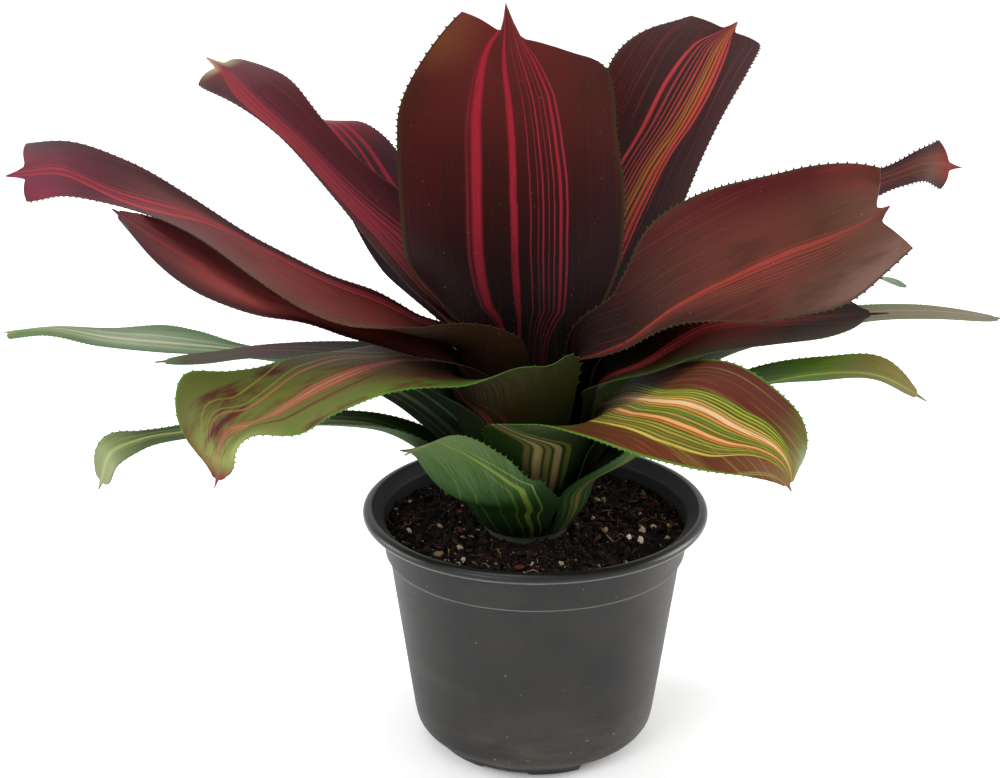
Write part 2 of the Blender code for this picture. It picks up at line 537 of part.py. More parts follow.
def make_soil():
    bends = sorted(z for _, z in POT_INNER if SOIL_BOTTOM < z < SOIL_TOP)
    wall = [(soil_radius(z), z) for z in [SOIL_BOTTOM] + bends + [SOIL_TOP]]
    columns = []
    for k in range(SOIL_STEPS):
        turn = 360 * k / SOIL_STEPS
        top = [(r, soil_height(r, turn)) for r in reversed(SOIL_RINGS)]
        columns.append((turn, [(0, SOIL_BOTTOM)] + wall + top + [(0, SOIL_TOP)]))
    points, faces = turned(columns)
    soil = add_object("soil", points, faces, PEAT, 0.95)
    middle = (PLANT_X - MIDDLE[0], -MIDDLE[1], HOLE_FLOOR + HOLE_DEPTH / 2)
    bpy.ops.mesh.primitive_cylinder_add(vertices=SOIL_STEPS, radius=HOLE_R * MM, depth=HOLE_DEPTH * MM,
                                        location=[v * MM for v in middle])
    hole = bpy.context.object
    hole.name = "stem_hole_cutter"
    hole.hide_render = True
    hole.display_type = "WIRE"
    cut = soil.modifiers.new("stem_hole", "BOOLEAN")
    cut.operation = "DIFFERENCE"
    cut.solver = "EXACT"
    cut.object = hole


def make_stem():
    foot = HOLE_FLOOR + SOIL_GAP
    profile = [(0, foot), (STEM_R, foot), (STEM_R, STEM_SHOULDER), (STEM_TIP_R, STEM_TOP),
               (0, STEM_TOP + STEM_CROWN)]
    points, faces = turned([(360 * k / STEM_STEPS, profile) for k in range(STEM_STEPS)])
    points = [(x + PLANT_X, y, z) for x, y, z in points]
    add_object("stem", points, faces, GREEN, 0.5)


def leaf_color(name):
    if name in RED_LEAVES:
        return DARK_RED
    return STRIPED if name in STRIPED_LEAVES else GREEN


def make_leaves():
    leaves = {name: {**USUAL, **leaf} for name, leaf in LEAVES.items()}
    set_layers(leaves)
    for name, leaf in leaves.items():
        rows = np.array(HEART_ROWS if leaf["heart"] else ROWS, float)
        sheet = sheet_of(leaf, rows, np.linspace(-1, 1, COLS))
        points, faces = Blade(sheet).mesh()
        add_object(name, points, faces, leaf_color(name), 0.35)


def main():
    for obj in list(bpy.data.objects):
        bpy.data.objects.remove(obj)
    make_pot()
    make_soil()
    make_stem()
    make_leaves()


main()
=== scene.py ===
"""The looks of a potted neoregelia: striped and toothed leaves in a rosette, peat and a black nursery pot.

Blender works in metres, +Z up. The lengths below are millimetres from the pot's axis at the floor, as in the
part's source, and MIDDLE moves them so that the origin lies under the middle of the plant's box.
"""

import math

import bpy
import numpy as np
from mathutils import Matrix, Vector, noise


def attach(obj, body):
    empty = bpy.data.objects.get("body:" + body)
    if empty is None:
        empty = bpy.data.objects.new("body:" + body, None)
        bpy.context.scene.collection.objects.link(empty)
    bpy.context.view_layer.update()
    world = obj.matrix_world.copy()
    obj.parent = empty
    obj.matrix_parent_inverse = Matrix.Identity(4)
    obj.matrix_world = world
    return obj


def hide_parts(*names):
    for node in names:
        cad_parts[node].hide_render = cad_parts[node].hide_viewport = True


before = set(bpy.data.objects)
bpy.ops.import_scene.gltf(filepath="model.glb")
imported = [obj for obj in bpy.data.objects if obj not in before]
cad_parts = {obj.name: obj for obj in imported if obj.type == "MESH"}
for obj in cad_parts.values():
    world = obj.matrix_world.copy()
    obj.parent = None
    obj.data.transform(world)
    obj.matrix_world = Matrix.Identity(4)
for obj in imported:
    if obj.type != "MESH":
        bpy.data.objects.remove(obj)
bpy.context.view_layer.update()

MM = 0.001
MIDDLE = (-18.86, 61.79)

# The rosette stands a little to the left of the pot's axis. Each leaf's sheath lies on a funnel of its own,
# one layer inside the leaves that it overlaps round the stem. CLIMB_STEP spaces the midrib's points up the
# cup. The sheath opens into the blade from OPENS_AT of the way up the cup, and SLACK lets it widen there.
PLANT_X = -4.0
BASE_Z = 102.8
BASE_STEP = 2.3
BASE_R = 19.5
BASE_SHRINK = 0.95
FLARE = 0.25
BULGE = 6.0
BULGE_H = 8.0
WRAP_MARGIN = 4.0
CLIMB_STEP = 9.0
OPENS_AT = 0.75
SLACK = 20.0
LEAST_HALF_WIDTH = 0.9
LOOK_AHEAD = 1.5

# Where the tip's notch, its spine and its curl begin along the leaf, how far the last two go across it, and
# where across it the tip's corners begin to turn back.
NOTCH_FROM = 0.8
SPINE_FROM = 0.94
SPINE_HALF = 0.2
CORNER_FROM = 0.35
CURL_FROM = 0.9
CURL_HALF = 0.6

# The fine blade: rows as close as half the teeth, thinning towards its margins. Below share TOOTHLESS the
# sheath has no teeth, and no tooth takes more than TOOTH_MOST of its row on each side of its middle. For the
# finish a tooth's tip lies TOOTH_TIP_SIDE across the leaf, whose margins are at 1.
TOOTH_PITCH = 2.8
TOOTH_HEIGHT = 1.35
TOOTH_HALF = 0.5
TOOTH_LEAN = 0.5
TOOTH_MOST = 0.3
TOOTHLESS = 0.2
TOOTH_TIP_SIDE = 1.04
ACROSS = 25
MIDRIB_THICK = 0.7
MARGIN_THICK = 0.4
MIDRIB_POINTS = 500
SHARP_ABOVE = 38

# The flat layout that a leaf's finish is baked on: the middles of its upper and lower sides, half their
# width, where they start and how far they go up. The walls along the left and the right margin are thin
# strips beside them, and those of the tip one above. A wall belongs to a margin if it lies beyond ON_MARGIN
# across the leaf and short of BEFORE_TIP along it.
UPPER_MIDDLE = 0.25
LOWER_MIDDLE = 0.75
LAYOUT_HALF = 0.22
LAYOUT_FROM = 0.01
LAYOUT_UP = 0.97
LEFT_STRIP = 0.5
RIGHT_STRIP = 0.99
STRIP_HALF = 0.006
TIP_STRIP = 0.992
TIP_STRIP_HALF = 0.005
ON_MARGIN = 0.99
BEFORE_TIP = 0.999

# The pot as in the part: outer profile from the foot up and inner one down, as (radius, height), and the
# feet with one notch, as spans of turns. A foot ends within STEP_TURN, the other columns keep CLEAR_OF_EDGE
# from its ends, and the gaps between feet lie GAP_DROP below the pot's floor. Here the corners are rounded,
# and the collar has its moulded bead and one small slanting dent. OUTSIDE is (height, least radius) of what
# the dent may press in. BOWS are (waves round the pot, depth, turn) of the wall's slight bowing, which is
# full from BOW_FULL_Z up and dies away within CALM_R of the axis. WALL_LEAN is the wall's slope.
POT_OUTER = [(45.5, 0), (48.2, 4.9), (51.6, 6.6), (53.6, 9.6), (54.5, 14), (64.6, 88.6), (66.5, 90.6),
             (68.3, 106.3), (74.9, 106.6), (76, 107.6), (76, 109.4), (74.6, 110.8), (72.6, 111)]
POT_INNER = [(71.2, 110.4), (66.9, 106.8), (65.1, 91.8), (63.1, 89.4), (53, 14.5), (47, 7)]
POT_UNDER_Z = 4.4
FOOT_INNER_R = 38.0
FOOT_INNER_SLOPE = 0.6
FEET = [(206, 295), (325, 54), (84, 173)]
FOOT_NOTCH = (239, 266)
NOTCH_HEIGHT = 1.3
GAP_DROP = 0.1
POT_STEPS = 180
STEP_TURN = 0.9
CLEAR_OF_EDGE = 1
CORNER_ROUND = 1.1
CORNER_MOST = 0.42
CORNER_POINTS = 4
LONGEST_RISE = 6.0
BEAD_Z = 91.0
BEAD_HALF = 0.7
BEAD_OUT = 0.2
DENT_TURN = 293
DENT_Z = 99.0
DENT_DEPTH = 0.7
DENT_SLANT = 0.12
DENT_HALF_TURN = 1.6
DENT_HALF_HEIGHT = 6.5
OUTSIDE = [(14, 53.6), (88, 63.6), (91, 65.6), (111, 71.5)]
BOWS = [(2, 0.25, 40), (5, 0.12, 0)]
BOW_FROM_Z = 10
BOW_FULL_Z = 70
CALM_R = 20
WALL_LEAN = 0.12

# The peat: what the part leaves round it and round the stem, and its lumps, clods and grains, each as (waves
# to the millimetre, layer of the noise, height). Then how many of each sort of bit lie on it, and where.
SOIL_TOP = 101.4
SOIL_BOTTOM = 7.4
SOIL_GAP = 0.4
SOIL_STEPS = 240
SOIL_RINGS = 46
SOIL_EDGE_DEPTH = 3
HOLE_R = 19.1
STEM_HOLE_FLOOR = 86.0
LUMPS = (0.05, 3.0, 1.6)
CLODS = (0.2, 7.0, 2.6)
GRAINS = (0.62, 11.0, 1.3)
CRUMB_HEIGHT = 1.5
PEAT_SINK = 2.4
BITS = {"perlite": 70, "bark": 170, "crumbs": 1100, "fibres": 130}
OPEN_SOIL_R = 65.0
OPEN_SOIL_FROM = 0.1
CLEAR_OF_SHEATHS = 29.0

# A bit of soil is a ball of so many rings and steps, knocked out of shape. ANY_SIZE of them take any size in
# their range, the rest one from its smaller half. One thinner than LIES_BELOW of its length lies down, and
# is tilted by about LYING_TILT. A fibre wanders over the peat, and turns back at the wall and the sheaths.
BIT_RINGS = 5
BIT_STEPS = 8
ANY_SIZE = 0.7
LIES_BELOW = 0.5
LYING_TILT = 0.35
FIBRE_STEPS = 8
FIBRE_SIDES = 5
FIBRE_LENGTHS = (4, 13)
FIBRE_RADII = (0.12, 0.28)
FIBRE_BEND = 0.12
FIBRE_HUMP = 0.5
FIBRE_THINS = 0.6
FIBRE_R = 65.5
FIBRE_TURNS_BACK = 0.9

# The view of the photograph, in metres, and the studio round the plant. Its floor goes FLOOR_HALF each way,
# and its lights are (name, place, size, power).
CAMERA_PLACE = (0.00329, -0.79599, 0.42872)
CAMERA_DOWN = 19.82
CAMERA_LENS = 64.98
CAMERA_SENSOR = 36
PLANT_MIDDLE = (0, -0.03, 0.18)
FLOOR_HALF = 12
SKY_STRENGTH = 0.98
LIGHTS = [("over_light", (-0.6, 0.4, 2.2), 1.6, 22), ("front_light", (-1.2, -1.8, 1.5), 1.0, 16),
          ("right_light", (1.5, 0.25, 0.55), 0.8, 22), ("left_light", (-1.5, 0.2, 0.6), 0.8, 16)]

# Leaves from the lowest to the heart. turn: the way it points, degrees from +X towards +Y. leave: the
# height at which its midrib parts from the cup. route: (reach, height) of the midrib after that. The other
# lists are (share of the length, value): half width, cup (degrees the section curls up at each margin),
# roll (positive lifts the left margin, seen from the stem), and left and right, which widen one side.
# wrap: the most degrees each side goes round the stem. rise: how far the sheath's margins climb above its
# midrib, with its share for each side. hold: share of the length over which the sheath opens into the blade.
# The tip rounds off from share round to end times the width, with its corners drawn back by corner, ends in
# a spine and may be notched or skewed.
LEAVES = {
    "leaf_front_curled": dict(
        turn=232, leave=118, route=[(38, 124), (49, 143), (59, 154), (68, 159), (76, 159)],
        width=[(0, 21), (.25, 32), (.5, 26), (.75, 18), (1, 12)], cup=[(0, 60), (.4, 45), (.8, 15), (1, 0)],
        roll=[(0, 0), (.6, 15), (1, 30)], left=[(0, 1.2), (.3, 1.1), (.6, 1), (1, 1)], spine=5),
    "leaf_right_low": dict(
        turn=343, leave=125, wrap=(55, 45),
        route=[(50, 140), (75, 165), (100, 178), (125, 184), (149, 187), (164, 179)],
        width=[(0, 21), (.2, 25), (.5, 14), (.8, 16), (1, 14)], end=.5, spine=5),
    "leaf_back_low": dict(
        turn=100, leave=120, route=[(45, 128), (80, 150), (120, 160), (170, 158), (215, 140)],
        width=[(0, 21), (.2, 28), (.5, 22), (.8, 18), (1, 12)]),
    "leaf_front_left_low": dict(
        turn=192, leave=125,
        route=[(40, 135), (65, 152), (86, 156), (115, 157), (145, 156), (165, 154), (177, 149), (182, 137)],
        width=[(0, 21), (.2, 28), (.5, 15), (.7, 9), (.85, 9), (.93, 13), (1, 13)],
        roll=[(0, 0), (.75, -5), (.9, -15), (1, -25)],
        right=[(0, 1), (.2, .8), (.35, .55), (.5, .7), (.7, 1), (.84, .6), (.95, 1), (1, 1)],
        end=.6, spine=4),
    "leaf_back_right_low": dict(
        turn=37, leave=124, route=[(48, 143), (75, 160), (120, 171), (170, 175), (215, 178), (238, 168)],
        width=[(0, 21), (.2, 25), (.5, 18), (.8, 14), (1, 14)], right=[(0, 1), (.2, .7), (.5, .8), (1, 1)],
        end=.55, spine=3),
    "leaf_left_low": dict(
        turn=160, leave=130,
        route=[(50, 150), (90, 163), (138, 166), (172, 165), (207, 164), (240, 165), (262, 161)],
        width=[(0, 21), (.2, 28), (.5, 20), (.62, 21), (.78, 13), (.9, 8), (.97, 9), (1, 10)],
        cup=[(0, 60), (.4, 30), (.8, 0), (1, -30)],
        left=[(0, 1), (.2, .75), (.4, .7), (.6, .9), (1, 1)],
        right=[(0, 1), (.2, .8), (.42, .35), (.54, .3), (.66, .85), (.76, 1.4), (.88, 1.1), (1, 1)],
        end=.7, spine=4),
    "leaf_right_outer": dict(
        turn=15, leave=140, route=[(54, 158), (89, 174), (127, 181), (155, 185), (185, 184), (224, 178)],
        width=[(0, 21), (.2, 24), (.5, 15), (.8, 12), (1, 11)], cup=[(0, 60), (.4, 30), (.8, 5), (1, 0)],
        left=[(0, 1), (.2, .8), (1, 1)], end=.5, spine=4),
    "leaf_front_right": dict(
        turn=318, leave=150, wrap=(62, 85), rise=[(0, 0), (.1, 6), (.25, 10), (.4, 0)], rises=(.5, 1),
        route=[(62, 173), (88, 180), (110, 174), (125, 166), (134, 157)],
        width=[(0, 21), (.2, 34), (.45, 34), (.7, 30), (1, 22)], cup=[(0, 60), (.4, 25), (.8, 0), (1, -5)],
        roll=[(0, 0), (.4, 8), (.7, 16), (1, 10)], left=[(0, 1), (.35, .85), (.7, .95), (.9, 1.1), (1, 1.1)],
        right=[(0, 1.3), (.3, 1.25), (.5, 1.38), (.7, 1.4), (.8, 1.2), (.9, .9), (1, .5)], spine=3),
    "leaf_left_small": dict(
        turn=177, leave=160, route=[(43, 169), (62, 176), (90, 180), (115, 180), (140, 176), (157, 174)],
        width=[(0, 21), (.2, 32), (.5, 24), (.8, 12), (1, 8)], cup=[(0, 60), (.4, 20), (.8, 5), (1, 0)],
        right=[(0, 1), (.3, .9), (.6, .6), (.8, .5), (1, 1)], end=.6, spine=5),
    "leaf_front_left": dict(
        turn=211, leave=175, wrap=(95, 55), rise=[(0, 0), (.15, 16), (.3, 30), (.4, 24), (.55, 0)],
        rises=(1, .2), route=[(50, 182), (73, 185), (98, 182), (121, 176), (138, 167), (144, 153)],
        width=[(0, 21), (.2, 32), (.45, 30), (.7, 31), (.9, 28), (1, 24)],
        cup=[(0, 70), (.18, 70), (.3, 55), (.42, 10), (.8, 0), (1, -5)],
        roll=[(0, 0), (.4, -3), (.7, -10), (1, -35)],
        left=[(0, 1.4), (.2, 1.6), (.3, 1.4), (.42, .85), (.7, .6), (.8, .6), (.87, .2), (.93, .2), (1, .5)],
        right=[(0, 1), (.5, 1), (.68, 1), (.77, .95), (.84, 1.2), (.89, 1.5), (.95, 1.05), (1, .6)],
        hold=.12, spine=4),
    "leaf_back_right_mid": dict(
        turn=75, leave=165, route=[(52, 180), (85, 196), (125, 198), (160, 184)],
        width=[(0, 21), (.2, 32), (.5, 28), (.8, 24), (1, 14)]),
    "leaf_right_mid": dict(
        turn=0, leave=170, wrap=(62, 35), route=[(53, 182), (74, 191), (99, 195), (125, 197), (146, 198)],
        width=[(0, 21), (.2, 32), (.5, 32), (.8, 26), (1, 14)], cup=[(0, 60), (.4, 30), (.8, 20), (1, 10)],
        roll=[(0, 0), (.5, 12), (1, 15)], left=[(0, 1), (.3, .8), (.6, .8), (1, 1)]),
    "leaf_back_left_mid": dict(
        turn=115, leave=176, wrap=(38, 50), route=[(50, 187), (75, 197), (115, 200), (155, 190)],
        width=[(0, 21), (.2, 30), (.5, 26), (.8, 20), (1, 13)], left=[(0, 1), (.3, .8), (1, 1)]),
    "leaf_left_mid": dict(
        turn=194, leave=178, route=[(57, 192), (84, 202), (116, 217), (144, 235.5), (167, 252.5)],
        width=[(0, 20), (.2, 26), (.4, 22), (.62, 30), (.82, 27), (1, 12)],
        cup=[(0, 60), (.4, 20), (.8, 10), (1, 10)], roll=[(0, 0), (.4, -12), (1, -18)],
        left=[(0, 1), (.35, 1), (.5, .5), (.6, .35), (.7, .65), (.8, 1), (.9, 1.6), (1, 2.6)],
        right=[(0, 1), (.3, .5), (.65, .5), (.8, .68), (.92, .85), (1, 1)], round=.75, spine=3),
    "leaf_right_narrow": dict(
        turn=25, leave=178, wrap=(60, 45),
        route=[(52, 190), (85, 211), (126, 227), (163, 235), (188, 240), (204, 243), (218, 241)],
        width=[(0, 20), (.2, 32), (.5, 24), (.75, 11), (.88, 6), (.95, 9), (1, 15)],
        cup=[(0, 60), (.4, 30), (.75, 30), (.9, 10), (1, -20)],
        roll=[(0, 0), (.5, 5), (.75, 30), (1, 70)], left=[(0, 1), (.15, .8), (.3, .7), (.5, .85), (1, .9)],
        right=[(0, 1), (.9, 1), (1, .75)], notch=-2, end=.95, corner=2),
    "leaf_back_left": dict(
        turn=129, leave=178, wrap=(45, 45),
        route=[(65, 200), (88, 216), (112, 236), (130, 249), (146, 256), (158, 256)],
        width=[(0, 20), (.2, 32), (.5, 34), (.8, 26), (1, 20)], cup=[(0, 60), (.4, 40), (.8, 25), (1, -10)],
        left=[(0, .7), (.3, .53), (.48, 1.08), (.6, 1.05), (1, 1)],
        right=[(0, 1), (.25, .7), (.4, .65), (.7, .7), (1, .9)], end=.6),
    "leaf_back_right": dict(
        turn=53, leave=182, wrap=(50, 58),
        route=[(60, 200), (85, 225), (110, 253), (132, 277), (150, 292), (162, 298)],
        width=[(0, 20), (.2, 32), (.5, 37), (.75, 38), (1, 34)], cup=[(0, 60), (.4, 35), (.8, 25), (1, 0)],
        left=[(0, 1), (.3, .8), (.5, 1), (.75, 1.06), (.9, 1.3), (1, 1.3)],
        right=[(0, 1), (.2, .85), (.45, .75), (.6, .62), (.72, .6), (.82, .66), (.92, .78), (1, .95)],
        round=.8, end=.6, notch=4, skew=8),
    "leaf_left_long": dict(
        turn=184, leave=182, wrap=(100, 62), rise=[(0, 0), (.1, 12), (.2, 26), (.3, 18), (.45, 0)],
        rises=(1, 0),
        route=[(50, 193), (79, 205), (111, 224), (143, 245), (171, 258), (190, 263), (205, 262)],
        width=[(0, 20), (.2, 30), (.5, 30), (.8, 18), (.92, 16), (1, 18)],
        cup=[(0, 60), (.12, 70), (.25, 50), (.4, 20), (.8, 10), (1, -15)],
        roll=[(0, 0), (.3, 0), (.5, -8), (.8, -10), (1, -30)],
        left=[(0, 1.5), (.15, 1.3), (.4, 1.1), (.68, 1), (.78, 1.15), (.88, 1.05), (1, 1)],
        right=[(0, 1), (.2, .52), (.3, .47), (.4, .7), (.5, .6), (.7, .68), (.82, 1.1), (.92, 1.5),
               (1, 1.9)],
        hold=.12, end=.8, notch=4, skew=-2),
    "leaf_left_high": dict(
        turn=150, leave=188, wrap=(54, 62),
        route=[(51, 207), (66, 220), (92, 243), (118, 266), (137, 280), (152, 287), (159, 290)],
        width=[(0, 20), (.2, 30), (.5, 30), (.8, 19), (.92, 20), (1, 22)],
        cup=[(0, 60), (.4, 30), (.8, 15), (1, -10)],
        left=[(0, 1), (.18, .66), (.3, .6), (.45, .62), (.6, .62), (.75, .85), (.9, 1.25), (1, 1.3)],
        right=[(0, 1), (.5, 1), (.7, .8), (.84, 1.05), (.93, 1.4), (1, 1.55)],
        end=.75, notch=3, skew=-5, corner=4),
    "leaf_back_tall": dict(
        turn=96, leave=188, wrap=(48, 62), route=[(34, 208), (43, 234), (53, 262), (63, 286), (71, 305)],
        width=[(0, 20), (.15, 32), (.35, 48), (.55, 54), (.8, 51.5), (1, 47)],
        cup=[(0, 60), (.2, 100), (.3, 84), (.42, 45), (.6, 25), (.85, 15), (1, 0)],
        left=[(0, 1), (.22, .6), (.4, 1), (.6, .98), (.85, 1), (1, .88)],
        right=[(0, 1), (.4, .9), (.6, .89), (.85, .93), (1, 1.22)],
        round=.78, end=.5, notch=4, skew=10, spine=20, curl=-30),
    "leaf_right_broad": dict(
        turn=347, leave=184, wrap=(105, 62),
        route=[(45, 196), (66, 211), (90, 225), (114, 237), (132, 245), (143, 249)],
        width=[(0, 20), (.2, 28), (.4, 27), (.65, 40), (.85, 40), (1, 36)],
        cup=[(0, 60), (.14, 100), (.26, 70), (.4, 30), (.8, 15), (1, 5)],
        roll=[(0, 0), (.35, 30), (.6, 45), (1, 45)],
        left=[(0, 1.4), (.12, 1.2), (.22, .75), (.32, .55), (.42, .85), (.52, 1.1), (.62, 1), (.8, .83),
              (1, .8)],
        right=[(0, 1.2), (.2, .9), (.3, .7), (.45, .38), (.6, .52), (.7, .72), (.8, .85), (.9, .92),
               (1, .7)],
        hold=.12, round=.85, end=.75, notch=12, skew=-3, curl=40, corner=4),
    "leaf_heart_left": dict(
        turn=205, leave=150, route=[(15, 154), (16, 160)],
        width=[(0, 8), (.5, 9), (1, 6)], cup=[(0, 60), (.5, 60), (1, 30)]),
    "leaf_heart_right": dict(
        turn=320, leave=150, route=[(13, 155), (14, 160)],
        width=[(0, 8), (.5, 9), (1, 6)], cup=[(0, 60), (.5, 60), (1, 30)]),
    "leaf_heart_back": dict(
        turn=80, leave=152, route=[(10, 157), (11, 162)],
        width=[(0, 7), (.5, 8), (1, 5)], cup=[(0, 60), (.5, 60), (1, 30)]),
}
USUAL = dict(cup=[(0, 60), (.4, 30), (.8, 15), (1, 10)], roll=[(0, 0), (1, 0)], left=[(0, 1), (1, 1)],
             right=[(0, 1), (1, 1)], wrap=(62, 62), rise=[(0, 0), (1, 0)], rises=(1, 1), hold=.22, round=.84,
             end=.3, notch=0, skew=0, spine=8, curl=0, corner=3)

